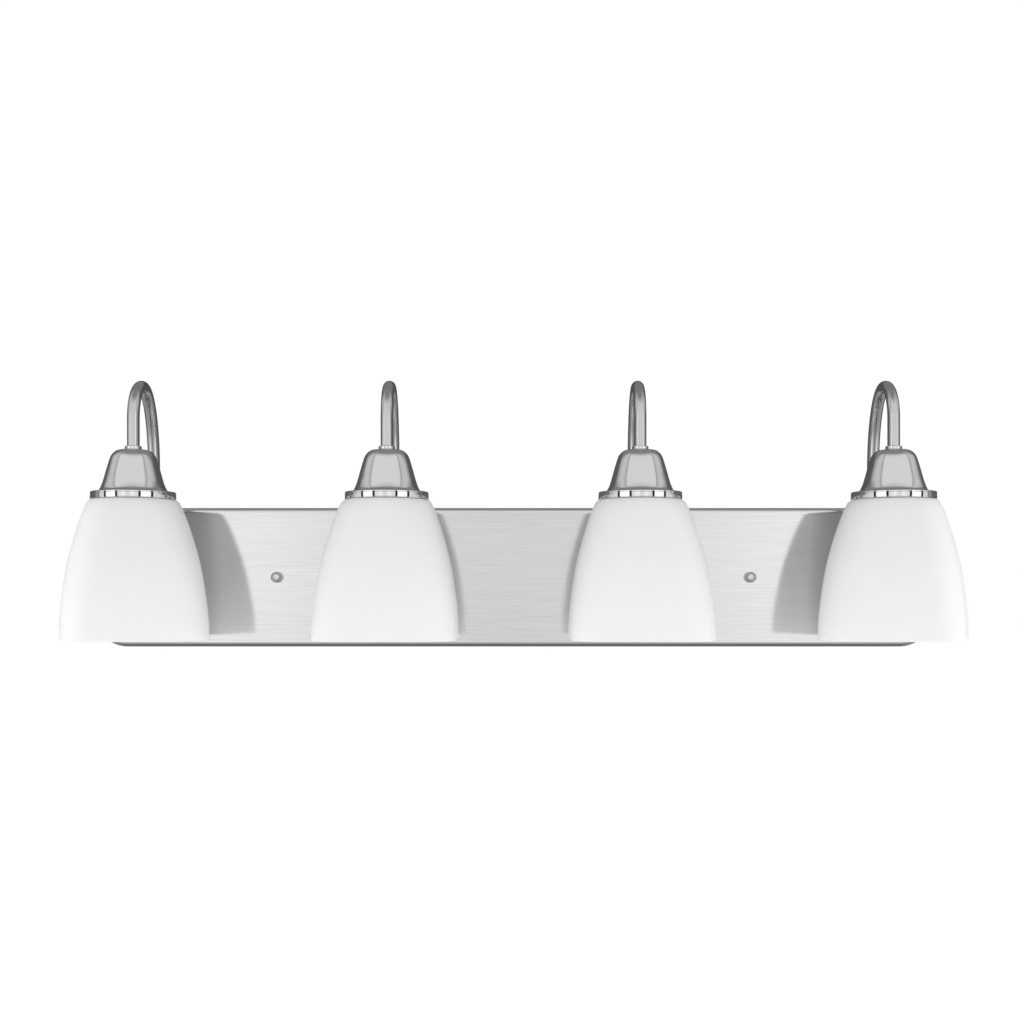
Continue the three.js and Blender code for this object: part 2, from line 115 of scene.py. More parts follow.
class Graph:
    """A node tree that is wired up one node at a time."""

    def __init__(self, tree: bpy.types.NodeTree) -> None:
        """Empties the tree and keeps it.

        Args:
            tree: the material's or the world's node tree.
        """
        self.tree = tree
        tree.nodes.clear()

    def node(self, kind: str, inputs: dict[Any, Any] | None = None, **settings: Any) -> bpy.types.Node:
        """Adds a node.

        Args:
            kind: the node's type name.
            inputs: values or sockets for its inputs, by name or number.
            settings: the node's own properties.

        Returns:
            The node.
        """
        made = self.tree.nodes.new(kind)
        for key, value in settings.items():
            setattr(made, key, value)
        for key, value in (inputs or {}).items():
            if isinstance(value, bpy.types.NodeSocket):
                self.tree.links.new(value, made.inputs[key])
            else:
                made.inputs[key].default_value = value
        return made

    def math(self, operation: str, a: Any, b: Any = 0.0) -> bpy.types.NodeSocket:
        """Adds a Math node for two values or sockets."""
        return self.node("ShaderNodeMath", {0: a, 1: b}, operation=operation).outputs[0]

    def spread(self, factor: Any, middle: float, change: float) -> bpy.types.NodeSocket:
        """Turns a 0 to 1 factor into a value.

        Args:
            factor: the factor.
            middle: the value at a half.
            change: how far the value goes down and up, as a share of the middle.

        Returns:
            The value's socket.
        """
        inputs = {"Value": factor, "To Min": middle * (1 - change), "To Max": middle * (1 + change)}
        return self.node("ShaderNodeMapRange", inputs).outputs[0]

    def progress(self, value: Any, start: float, end: float) -> bpy.types.NodeSocket:
        """How far a value has come from one limit, 0, to another, 1."""
        inputs = {"Value": value, "From Min": start, "From Max": end}
        return self.node("ShaderNodeMapRange", inputs).outputs[0]

    def tint(self, factor: Any, first: Any, second: Any) -> bpy.types.NodeSocket:
        """Mixes two colours.

        Args:
            factor: how much of the second colour shows.
            first: a colour or socket.
            second: a colour or socket.

        Returns:
            The mixed colour's socket.
        """
        made = self.node("ShaderNodeMix", data_type="RGBA")
        for index, value in ((0, factor), (6, first), (7, second)):
            if isinstance(value, bpy.types.NodeSocket):
                self.tree.links.new(value, made.inputs[index])
            else:
                made.inputs[index].default_value = (*value, 1.0) if isinstance(value, tuple) else value
        return made.outputs[2]

    def ramp(self, factor: Any, stops: Sequence[tuple[float, Colour]]) -> bpy.types.NodeSocket:
        """Adds a colour ramp.

        Args:
            factor: where on the ramp.
            stops: places from 0 to 1 with their colours.

        Returns:
            The colour's socket.
        """
        made = self.node("ShaderNodeValToRGB", {0: factor})
        elements = made.color_ramp.elements
        while len(elements) < len(stops):
            elements.new(0.5)
        for element, (place, colour) in zip(elements, stops):
            element.position = place
            element.color = (*colour, 1.0)
        return made.outputs[0]

    def noise(self, vector: Any, scale: Colour, detail: float = 3.0) -> bpy.types.NodeSocket:
        """Adds a noise whose scale differs along each axis.

        Args:
            vector: the coordinates.
            scale: spots per unit along each axis.
            detail: the noise's octaves.

        Returns:
            The noise's 0 to 1 socket.
        """
        placed = self.node("ShaderNodeMapping", {"Vector": vector, "Scale": scale}, vector_type="POINT")
        made = self.node("ShaderNodeTexNoise", {"Vector": placed.outputs[0], "Scale": 1.0, "Detail": detail})
        return made.outputs[0]

    def bump(self, height: Any, strength: float, distance: float) -> bpy.types.NodeSocket:
        """Adds a bump whose full step is a distance in metres."""
        inputs = {"Height": height, "Strength": strength, "Distance": distance}
        return self.node("ShaderNodeBump", inputs).outputs[0]


# ---- finishes ----

# noise scales in spots per metre
PATCHES = (90.0, 90.0, 90.0)
GRIT = (1400.0, 1400.0, 1400.0)
CLOUDS = (16.0, 16.0, 16.0)
FROST = (2600.0, 2600.0, 2600.0)
SLOW_GLOSS = (14.0, 14.0, 22.0)
LINE_LENGTH_X = (26.0, 60.0)
LINE_LENGTH_ROUND = 0.02

# lines per millimetre across the grain
LINES = 1.1
HAIRLINES = 3.2

# how pointed an edge is where its wear starts and where it is full
WEAR_START = 0.52
WEAR_FULL = 0.6


@dataclass(frozen=True)
class Finish:
    """A surface of a plain, moulded or cast material with mottling and worn edges."""

    name: str
    colour: Colour
    roughness: float
    metallic: float = 0.0
    mottle: float = 0.06
    edge_colour: Colour = (0.8, 0.8, 0.8)
    edge_wear: float = 0.15

    def build(self) -> bpy.types.Material:
        """Makes the material.

        Returns:
            The material, ready for a mesh's slot.
        """
        material = bpy.data.materials.get(self.name)
        if material is None:
            material = bpy.data.materials.new(self.name)
            material.use_nodes = True
            graph = Graph(material.node_tree)
            graph.node("ShaderNodeOutputMaterial", {"Surface": self.surface(graph)})
        return material

    def coordinates(self, graph: Graph) -> bpy.types.NodeSocket:
        """The object's own coordinates, in metres."""
        return graph.node("ShaderNodeTexCoord").outputs["Object"]

    def darker(self, share: float) -> Colour:
        """The colour, darker by a share of itself."""
        return tuple(c * (1 - share) for c in self.colour)

    def lighter(self, share: float) -> Colour:
        """The colour, lighter by a share of itself."""
        return tuple(min(c * (1 + share), 1.0) for c in self.colour)

    def worn(self, graph: Graph, colour: bpy.types.NodeSocket) -> bpy.types.NodeSocket:
        """Lightens the edges where handling has rubbed them.

        Args:
            graph: the material's graph.
            colour: the colour of the flat areas.

        Returns:
            The colour with worn edges.
        """
        pointed = graph.node("ShaderNodeNewGeometry").outputs["Pointiness"]
        ridge = graph.progress(pointed, WEAR_START, WEAR_FULL)
        return graph.tint(graph.math("MULTIPLY", ridge, self.edge_wear), colour, self.edge_colour)

    def surface(self, graph: Graph) -> bpy.types.NodeSocket:
        """Wires the shader.

        Args:
            graph: the material's graph.

        Returns:
            The shader's output socket.
        """
        place = self.coordinates(graph)
        patches = graph.noise(place, PATCHES, 4.0)
        grit = graph.noise(place, GRIT, 2.0)
        mottled = graph.tint(patches, self.darker(self.mottle), self.lighter(self.mottle))
        inputs = {
            "Base Color": self.worn(graph, mottled),
            "Metallic": self.metallic,
            "Roughness": graph.spread(patches, self.roughness, 0.15),
            "Normal": graph.bump(grit, 0.12, 0.1 * MM),
        }
        return graph.node("ShaderNodeBsdfPrincipled", inputs).outputs[0]


@dataclass(frozen=True)
class BrushedMetal(Finish):
    """Metal with fine parallel lines and slow changes of gloss."""

    metallic: float = 1.0
    grain: Grain = Grain.NONE
    line_contrast: float = 0.05
    line_depth: float = 0.05
    gloss_change: float = 0.15
    edge_colour: Colour = (0.9, 0.89, 0.87)

    def line_noise(self, graph: Graph, fine: float) -> bpy.types.NodeSocket:
        """Noise drawn out along the grain.

        Args:
            graph: the material's graph.
            fine: lines per millimetre across the grain.

        Returns:
            The noise's socket.
        """
        if self.grain is Grain.ALONG_X:
            return graph.noise(self.coordinates(graph), (*LINE_LENGTH_X, fine / MM), 5.0)
        if self.grain is Grain.ROUND:
            turned = graph.node("ShaderNodeUVMap", uv_map=TURNED_UV).outputs[0]
            return graph.noise(turned, (LINE_LENGTH_ROUND, fine, 1.0), 4.0)
        return graph.noise(self.coordinates(graph), (fine / MM,) * 3, 2.0)

    def surface(self, graph: Graph) -> bpy.types.NodeSocket:
        """Wires the shader.

        Args:
            graph: the material's graph.

        Returns:
            The shader's output socket.
        """
        lines = self.line_noise(graph, LINES)
        hair = self.line_noise(graph, HAIRLINES)
        slow = graph.noise(self.coordinates(graph), SLOW_GLOSS, 2.0)
        lined = graph.tint(lines, self.darker(self.line_contrast), self.lighter(self.line_contrast))
        gloss = graph.math("ADD", graph.math("MULTIPLY", slow, 0.5), graph.math("MULTIPLY", hair, 0.5))
        inputs = {
            "Base Color": self.worn(graph, lined),
            "Metallic": self.metallic,
            "Roughness": graph.spread(gloss, self.roughness, self.gloss_change),
            "Normal": graph.bump(hair, self.line_depth, 0.05 * MM),
        }
        return graph.node("ShaderNodeBsdfPrincipled", inputs).outputs[0]


@dataclass(frozen=True)
class EtchedGlass(Finish):
    """White glass with an etched face: it glows a little where light comes through its wall."""

    glow: float = 0.25
    edge_colour: Colour = (0.98, 0.98, 0.98)

    def surface(self, graph: Graph) -> bpy.types.NodeSocket:
        """Wires the shader.

        Args:
            graph: the material's graph.

        Returns:
            The shader's output socket.
        """
        place = self.coordinates(graph)
        clouds = graph.noise(place, CLOUDS, 3.0)
        frost = graph.noise(place, FROST, 2.0)
        colour = self.worn(graph, graph.tint(clouds, self.darker(self.mottle), self.colour))
        normal = graph.bump(frost, 0.06, 0.05 * MM)
        inputs = {
            "Base Color": colour,
            "Roughness": graph.spread(clouds, self.roughness, 0.12),
            "IOR": 1.5,
            "Normal": normal,
        }
        face = graph.node("ShaderNodeBsdfPrincipled", inputs).outputs[0]
        through = graph.node("ShaderNodeBsdfTranslucent", {"Color": colour, "Normal": normal}).outputs[0]
        return graph.node("ShaderNodeMixShader", {0: self.glow, 1: face, 2: through}).outputs[0]


PLATE_NICKEL = BrushedMetal(
    "brushed_nickel_plate",
    (0.75, 0.735, 0.727),
    0.085,
    grain=Grain.ALONG_X,
    line_depth=0.1,
    line_contrast=0.12,
)
CUP_NICKEL = BrushedMetal(
    "spun_nickel_cup", (0.735, 0.725, 0.73), 0.13, grain=Grain.ROUND, line_contrast=0.03
)
ARM_NICKEL = BrushedMetal(
    "drawn_nickel_tube", (0.63, 0.625, 0.62), 0.13, line_contrast=0.04, line_depth=0.02
)
BRIGHT_NICKEL = BrushedMetal(
    "bright_nickel_rim", (0.8, 0.79, 0.775), 0.02, grain=Grain.ROUND, line_contrast=0.02
)
# a darker copy of the nickel for the cap nuts: their sides are painted dark to stand in for the dark
# reflection ring round each nut, and the crown takes the lighter cup nickel
CAP_NICKEL_PAINTED_DARK = BrushedMetal("cap_nut_nickel_painted_dark_ring", (0.5, 0.49, 0.485), 0.26, grain=Grain.ROUND)
SHADE_GLASS = EtchedGlass("etched_white_glass", (0.9, 0.905, 0.9), 0.5, mottle=0.012, edge_wear=0.3)
BULB_WHITE = EtchedGlass("coated_bulb_glass", (0.9, 0.89, 0.86), 0.28, mottle=0.02, glow=0.4)
PHENOLIC = Finish("moulded_phenolic", (0.022, 0.022, 0.025), 0.42, edge_colour=(0.1, 0.1, 0.1))
ALUMINIUM = BrushedMetal("pressed_aluminium", (0.78, 0.79, 0.8), 0.3, grain=Grain.ROUND)
BRASS = BrushedMetal("rolled_brass", (0.72, 0.5, 0.2), 0.28)
ZINC_STEEL = BrushedMetal("zinc_plated_steel", (0.58, 0.59, 0.6), 0.36, line_contrast=0.1, gloss_change=0.3)
GREEN_STEEL = Finish("green_dyed_steel", (0.05, 0.25, 0.09), 0.35, metallic=0.8, edge_colour=(0.5, 0.5, 0.45))
LEAD_SHEATH = Finish("lead_sheath", (0.82, 0.79, 0.72), 0.5, edge_wear=0.0)
NYLON = Finish("moulded_nylon", (0.8, 0.77, 0.68), 0.45, edge_colour=(0.9, 0.88, 0.82))


# ---- shapes ----


def arc(centre: tuple[float, float], radius: float, start: float, end: float, steps: int) -> Outline:
    """Points along an arc.

    Args:
        centre: the arc's centre.
        radius: its radius.
        start: its first angle, in degrees.
        end: its last angle, in degrees.
        steps: how many spans it has.

    Returns:
        The points, ends included.
    """
    angles = [math.radians(start + (end - start) * i / steps) for i in range(steps + 1)]
    return [(centre[0] + radius * math.cos(a), centre[1] + radius * math.sin(a)) for a in angles]


def flowing(points: Outline, steps: int) -> Outline:
    """A smooth line through the points.

    Args:
        points: the points that the line passes.
        steps: how many spans it has from one point to the next.

    Returns:
        The line's points.
    """
    line: Outline = []
    last = len(points) - 1
    for i in range(last):
        a, b = Vector(points[i]), Vector(points[i + 1])
        before, after = Vector(points[max(i - 1, 0)]), Vector(points[min(i + 2, last)])
        span = (b - a).length
        leave = (b - before).normalized() * span
        arrive = (after - a).normalized() * span
        for k in range(steps):
            t = k / steps
            point = (
                a * (2 * t**3 - 3 * t**2 + 1)
                + leave * (t**3 - 2 * t**2 + t)
                + b * (3 * t**2 - 2 * t**3)
                + arrive * (t**3 - t**2)
            )
            line.append((point.x, point.y))
    return [*line, points[last]]


def soft_square(half_width: float, flat: float, z: float, count: int) -> Ring:
    """One ring of a square with flat sides and fully rounded corners.

    Args:
        half_width: from the middle to a flat side.
        flat: half of a flat side's length; 0 gives a circle.
        z: the ring's height.
        count: its points, spaced evenly in angle.

    Returns:
        The ring's points.
    """

    def reach(angle: float) -> float:
        off = abs(angle - round(angle / (math.pi / 2)) * math.pi / 2)
        if math.tan(off) * half_width <= flat:
            return half_width / math.cos(off)
        radius = half_width - flat
        corner_middle = flat * (math.cos(off) + math.sin(off))
        return corner_middle + math.sqrt(radius**2 - flat**2 * (1 - math.sin(2 * off)))

    return ring_of(count, z, reach)


def ring_of(count: int, z: float, reach: Callable[[float], float]) -> Ring:
    """A ring whose points are spaced evenly in angle.

    Args:
        count: its points.
        z: its height.
        reach: the distance from the middle at an angle in radians.

    Returns:
        The ring's points.
    """
    ring: Ring = []
    for number in range(count):
        angle = 2 * math.pi * number / count
        out = reach(angle)
        ring.append((out * math.cos(angle), out * math.sin(angle), z))
    return ring


class Bench:
    """The edit-mode steps that shape one mesh at a time."""

    MERGE = 1e-6

    @staticmethod
    def take(piece: bpy.types.Object, name: str) -> bpy.types.Object:
        """Names a new primitive and moves its place into its mesh.

        Args:
            piece: the primitive.
            name: its plain name.

        Returns:
            The piece.
        """
        piece.name = name
        piece.data.name = name
        bpy.ops.object.transform_apply(location=True, rotation=True, scale=True)
        return piece

    @staticmethod
    def edit() -> None:
        """Enters edit mode with every edge selected."""
        bpy.ops.object.mode_set(mode="EDIT")
        bpy.ops.mesh.select_mode(type="EDGE")
        bpy.ops.mesh.select_all(action="SELECT")

    @staticmethod
    def select_rims() -> None:
        """Selects the open edges only."""
        bpy.ops.mesh.select_all(action="DESELECT")
        bpy.ops.mesh.select_non_manifold(
            extend=False,
            use_wire=False,
            use_boundary=True,
            use_multi_face=False,
            use_non_contiguous=False,
            use_verts=False,
        )

    @classmethod
    def fill_rims(cls) -> None:
        """Fills every open end with one face."""
        cls.select_rims()
        bpy.ops.mesh.fill_holes(sides=0)

    @classmethod
    def seal(cls, smooth_angle: float = 35.0) -> None:
        """Merges doubles, turns every face outwards and smooths the soft edges.

        Args:
            smooth_angle: the sharpest angle that stays smooth, in degrees.
        """
        bpy.ops.mesh.select_all(action="SELECT")
        bpy.ops.mesh.remove_doubles(threshold=cls.MERGE)
        bpy.ops.mesh.normals_make_consistent(inside=False)
        bpy.ops.object.mode_set(mode="OBJECT")
        cls.smooth(smooth_angle)

    @staticmethod
    def smooth(angle: float = 35.0) -> None:
        """Smooths the active piece's edges up to an angle in degrees."""
        bpy.ops.object.shade_smooth_by_angle(angle=math.radians(angle))

    @classmethod
    def circle(
        cls, name: str, radius: float, count: int, at: Vector, facing: str = "Z"
    ) -> bpy.types.Object:
        """A ring of edges.

        Args:
            name: the piece's name.
            radius: the ring's radius.
            count: its points.
            at: its centre.
            facing: the axis that it faces.

        Returns:
            The piece, in edit mode with its ring selected.
        """
        turn = (math.pi / 2, 0.0, 0.0) if facing == "Y" else (0.0, 0.0, 0.0)
        bpy.ops.object.select_all(action="DESELECT")
        bpy.ops.mesh.primitive_circle_add(
            vertices=count, radius=radius * MM, location=at * MM, rotation=turn
        )
        piece = cls.take(bpy.context.object, name)
        cls.edit()
        return piece

    @staticmethod
    def push(step: Vector) -> None:
        """Extrudes the selected ring by a step."""
        bpy.ops.mesh.extrude_edges_move(TRANSFORM_OT_translate={"value": tuple(step * MM)})

    @classmethod
    def follow(cls, route: Sequence[Vector]) -> None:
        """Extrudes the selected ring along a route in a plane of constant X and keeps it square to its way.

        Args:
            route: the stations, the ring's own place first.
        """
        ways = [there - here for here, there in zip(route, route[1:])]
        headings = [math.atan2(way.z, way.y) for way in ways]
        facing = headings[0]
        for number, (way, there) in enumerate(zip(ways, route[1:])):
            cls.push(way)
            onward = headings[min(number + 1, len(headings) - 1)]
            heading = headings[number] + math.remainder(onward - headings[number], 2 * math.pi) / 2
            turn = math.remainder(heading - facing, 2 * math.pi)
            bpy.ops.transform.rotate(value=-turn, orient_axis="X", center_override=tuple(there * MM))
            facing = heading

    @classmethod
    def turned(cls, name: str, outline: Outline, count: int, closed: bool) -> bpy.types.Object:
        """A body turned about the Z axis.

        Args:
            name: the piece's name.
            outline: radius and height of each step.
            count: the points of each ring.
            closed: whether the section closes on its first ring; otherwise both ends are filled.

        Returns:
            The piece.
        """
        radius, z = outline[0]
        piece = cls.circle(name, radius, count, Vector((0.0, 0.0, z)))
        for next_radius, next_z in outline[1:]:
            cls.push(Vector((0.0, 0.0, next_z - z)))
            factor = next_radius / radius
            bpy.ops.transform.resize(value=(factor, factor, 1.0), center_override=(0.0, 0.0, 0.0))
            radius, z = next_radius, next_z
        if closed:
            cls.select_rims()
            bpy.ops.mesh.bridge_edge_loops()
        else:
            cls.fill_rims()
        cls.seal()
        cls.unwrap(piece)
        return piece

    @classmethod
    def loft(
        cls, name: str, rings: list[Ring], closed: bool, smooth_angle: float = 35.0
    ) -> bpy.types.Object:
        """A skin through rings whose shape changes from one to the next, wrapped from a grid.

        Args:
            name: the piece's name.
            rings: the rings, all with the same count of points.
            closed: whether the last ring joins the first; otherwise both ends are filled.
            smooth_angle: the sharpest angle that stays smooth, in degrees.

        Returns:
            The piece.
        """
        rows = [*rings, rings[0]] if closed else rings
        columns = len(rings[0])
        bpy.ops.object.select_all(action="DESELECT")
        bpy.ops.mesh.primitive_grid_add(x_subdivisions=columns, y_subdivisions=len(rows) - 1, size=1.0)
        piece = cls.take(bpy.context.object, name)
        for vertex in piece.data.vertices:
            column = round((vertex.co.x + 0.5) * columns) % columns
            row = round((vertex.co.y + 0.5) * (len(rows) - 1))
            vertex.co = Vector(rows[row][column]) * MM
        cls.edit()
        bpy.ops.mesh.remove_doubles(threshold=cls.MERGE)
        if not closed:
            cls.fill_rims()
        cls.seal(smooth_angle)
        cls.unwrap(piece)
        return piece

    @staticmethod
    def unwrap(piece: bpy.types.Object) -> None:
        """Gives a turned body its own UV: degrees round the axis, and millimetres along the outline.

        Args:
            piece: the body, still about the Z axis.
        """
        mesh = piece.data
        while mesh.uv_layers:
            mesh.uv_layers.remove(mesh.uv_layers[0])
        layer = mesh.uv_layers.new(name=TURNED_UV)
        for face in mesh.polygons:
            middle = math.atan2(face.center.x, -face.center.y)
            for corner in face.loop_indices:
                place = mesh.vertices[mesh.loops[corner].vertex_index].co
                turn = math.remainder(math.atan2(place.x, -place.y) - middle, 2 * math.pi)
                along = (place.z - math.hypot(place.x, place.y)) / MM
                layer.data[corner].uv = (math.degrees(middle + turn), along)

    @classmethod
    def cylinder(
        cls, name: str, radius: float, start: Vector, end: Vector, count: int = 32
    ) -> bpy.types.Object:
        """A cylinder from one point to another.

        Args:
            name: the piece's name.
            radius: its radius.
            start: the middle of one end.
            end: the middle of the other end.
            count: the points round it.

        Returns:
            The piece.
        """
        way = end - start
        bpy.ops.object.select_all(action="DESELECT")
        bpy.ops.mesh.primitive_cylinder_add(
            vertices=count,
            radius=radius * MM,
            depth=way.length * MM,
            location=(start + end) / 2 * MM,
            rotation=way.to_track_quat("Z", "Y").to_euler(),
        )
        return cls.take(bpy.context.object, name)

    @classmethod
    def block(cls, name: str, low: Vector, high: Vector) -> bpy.types.Object:
        """A plain block between two corners.

        Args:
            name: the piece's name.
            low: its lowest corner.
            high: its highest corner.

        Returns:
            The piece.
        """
        bpy.ops.object.select_all(action="DESELECT")
        bpy.ops.mesh.primitive_cube_add(
            size=1.0, location=(low + high) / 2 * MM, scale=(high - low) * MM
        )
        return cls.take(bpy.context.object, name)

    @staticmethod
    def modify(piece: bpy.types.Object, kind: str, **settings: Any) -> None:
        """Adds a modifier and applies it.

        Args:
            piece: the piece.
            kind: the modifier's type.
            settings: the modifier's properties.
        """
        bpy.ops.object.select_all(action="DESELECT")
        piece.select_set(True)
        bpy.context.view_layer.objects.active = piece
        modifier = piece.modifiers.new(kind.lower(), kind)
        for key, value in settings.items():
            setattr(modifier, key, value)
        bpy.ops.object.modifier_apply(modifier=modifier.name)

    @classmethod
    def cut(cls, piece: bpy.types.Object, tool: bpy.types.Object) -> None:
        """Cuts a closed tool out of the piece and throws the tool away."""
        cls.modify(piece, "BOOLEAN", operation="DIFFERENCE", object=tool, solver="EXACT")
        bpy.data.objects.remove(tool)

    @classmethod
    def fuse(cls, piece: bpy.types.Object, other: bpy.types.Object) -> None:
        """Joins another closed body to the piece as one skin."""
        cls.modify(piece, "BOOLEAN", operation="UNION", object=other, solver="EXACT")
        bpy.data.objects.remove(other)

    @classmethod
    def soften(cls, piece: bpy.types.Object, width: float) -> None:
        """Rounds the sharp edges and shades the rest flat.

        Args:
            piece: the piece.
            width: the rounding's width.
        """
        sharp = math.radians(40)
        cls.modify(
            piece, "BEVEL", width=width * MM, segments=2, limit_method="ANGLE", angle_limit=sharp
        )
        cls.smooth(30)
        cls.modify(piece, "WEIGHTED_NORMAL", keep_sharp=True)

    @staticmethod
    def join(pieces: Sequence[bpy.types.Object]) -> bpy.types.Object:
        """Joins pieces into the first one.

        Args:
            pieces: the pieces, at least one.

        Returns:
            The first piece, with the others in it.
        """
        bpy.ops.object.select_all(action="DESELECT")
        for piece in pieces:
            piece.select_set(True)
        bpy.context.view_layer.objects.active = pieces[0]
        bpy.ops.object.join()
        return pieces[0]

    @staticmethod
    def stand(piece: bpy.types.Object, place: Matrix) -> bpy.types.Object:
        """Moves the mesh, leaves its object at the origin and returns it."""
        piece.data.transform(place)
        return piece

    @staticmethod
    def copy(piece: bpy.types.Object, name: str, place: Matrix) -> bpy.types.Object:
        """Copies a finished piece with a mesh of its own.

        Args:
            piece: the piece to copy.
            name: the copy's name.
            place: where the copy goes.

        Returns:
            The copy.
        """
        made = piece.copy()
        made.data = piece.data.copy()
        made.name = name
        made.data.name = name
        made.data.transform(place)
        bpy.context.scene.collection.objects.link(made)
        return made


def dress(piece: bpy.types.Object, *finishes: Finish) -> bpy.types.Object:
    """Gives a piece its materials in place of any it has.

    Args:
        piece: the piece.
        finishes: the finish of each material slot.

    Returns:
        The piece.
    """
    kept = [face.material_index for face in piece.data.polygons]
    piece.data.materials.clear()
    for finish in finishes:
        piece.data.materials.append(finish.build())
    for face, index in zip(piece.data.polygons, kept):
        face.material_index = min(index, len(finishes) - 1)
    return piece


def coat(piece: bpy.types.Object, index: int, *finishes: Finish) -> bpy.types.Object:
    """Dresses a piece and puts all of it on one of its material slots.

    Args:
        piece: the piece.
        index: the slot's number.
        finishes: the finish of each material slot.

    Returns:
        The piece.
    """
    dress(piece, *finishes)
    paint(piece, index, lambda middle: True)
    return piece


def paint(piece: bpy.types.Object, index: int, chosen: Callable[[Vector], bool]) -> None:
    """Puts some faces on another material slot.

    Args:
        piece: the piece.
        index: the slot's number.
        chosen: whether a face goes there, from its middle in millimetres.
    """
    for face in piece.data.polygons:
        if chosen(face.center / MM):
            face.material_index = index


def hand_over(piece: bpy.types.Object, node: str) -> None:
    """Lets a piece stand for its CAD node and move with that node's body.

    Args:
        piece: the finished piece.
        node: the CAD node's name.
    """
    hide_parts(node)
    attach(piece, frame["nodes"][node]["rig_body"])
    log.info("%s: %d faces for %s", piece.name, len(piece.data.polygons), node)


def axis_place(x: float) -> Matrix:
    """The move from the Z axis to a light's own axis, which stands at x along the bar."""
    return Matrix.Translation((x * MM, middle_of("cup_1").y * MM, 0))


def share_out(
    master: bpy.types.Object, name: str, node: str, places: Sequence[Matrix]
) -> None:
    """Copies a finished piece to each light, hands the copies over and removes the first one.

    Args:
        master: the finished piece.
        name: the copies' name, without its number.
        node: the CAD nodes' name, without its number.
        places: where each copy goes.
    """
    for number, place in enumerate(places, 1):
        hand_over(Bench.copy(master, f"{name}_{number}", place), f"{node}_{number}")
    bpy.data.objects.remove(master)


def middle_of(node: str) -> Vector:
    """The middle of a CAD node's box, in millimetres."""
    low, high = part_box(node)
    return (low + high) / 2 / MM


def size_of(node: str) -> Vector:
    """The size of a CAD node's box, in millimetres."""
    low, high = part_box(node)
    return (high - low) / MM


def low_of(node: str) -> Vector:
    """The lowest corner of a CAD node's box, in millimetres."""
    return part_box(node)[0] / MM


def high_of(node: str) -> Vector:
    """The highest corner of a CAD node's box, in millimetres."""
    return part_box(node)[1] / MM


# ---- the back plate ----


@dataclass
class BackPlate:
    """The brushed pan: a long rounded rectangle with a rolled edge, open at the back."""

    corner: float = 30.0
    roll: float = 4.5
    sheet: float = 1.2
    corner_steps: int = 16
    roll_steps: int = 10
    face_margin: float = 1.4
    arm_hole: float = 5.5
    stud_hole: float = 2.4
    drill_start: float = 1.0
    drill_depth: float = 3.0

    def ring(self, inset: float, y: float) -> Ring:
        """The pan's outline.

        Args:
            inset: how far in from the pan's edge.
            y: the ring's depth.

        Returns:
            The ring's points.
        """
        size = size_of("back_plate")
        half_x, half_z = size.x / 2 - self.corner, size.z / 2 - self.corner
        points: Ring = []
        for quarter, (sx, sz) in enumerate(((1, 1), (-1, 1), (-1, -1), (1, -1))):
            centre = (sx * half_x, sz * half_z)
            turn = quarter * 90
            for x, z in arc(centre, self.corner - inset, turn, turn + 90, self.corner_steps):
                points.append((x, y, z))
        return points

    def skin(self, inset: float) -> list[Ring]:
        """Rings from the face over the rolled edge to the wall side.

        Args:
            inset: how far in from the outer skin.

        Returns:
            The rings, face first.
        """
        front = low_of("back_plate").y + inset
        radius = self.roll - inset
        rolled = arc((inset + radius, front + radius), radius, 270, 180, self.roll_steps)
        face = [self.ring(self.roll + self.face_margin, front)]
        return [*face, *(self.ring(edge, y) for edge, y in rolled), self.ring(inset, 0.0)]

    def build(self, light_nodes: Sequence[str], stud_nodes: Sequence[str]) -> None:
        """Models, dresses and hands over the pan.

        Args:
            light_nodes: the arms' CAD nodes, for their holes.
            stud_nodes: the studs' CAD nodes, for their holes.
        """
        rings = [*self.skin(0.0), *reversed(self.skin(self.sheet))]
        pan = Bench.loft("brushed_back_plate", rings, closed=False)
        front = low_of("back_plate").y
        entry = low_of("arm_lock_nut_1").z + size_of("arm_lock_nut_1").z / 2
        places = [(middle_of(node).x, entry, self.arm_hole) for node in light_nodes]
        places += [(middle_of(node).x, middle_of(node).z, self.stud_hole) for node in stud_nodes]
        for x, z, radius in places:
            start, end = Vector((x, front - self.drill_start, z)), Vector((x, front + self.drill_depth, z))
            Bench.cut(pan, Bench.cylinder("drill", radius, start, end))
        Bench.smooth()
        Bench.modify(pan, "WEIGHTED_NORMAL", keep_sharp=True)
        hand_over(dress(pan, PLATE_NICKEL), "back_plate")


# ---- strap, studs and wiring parts ----


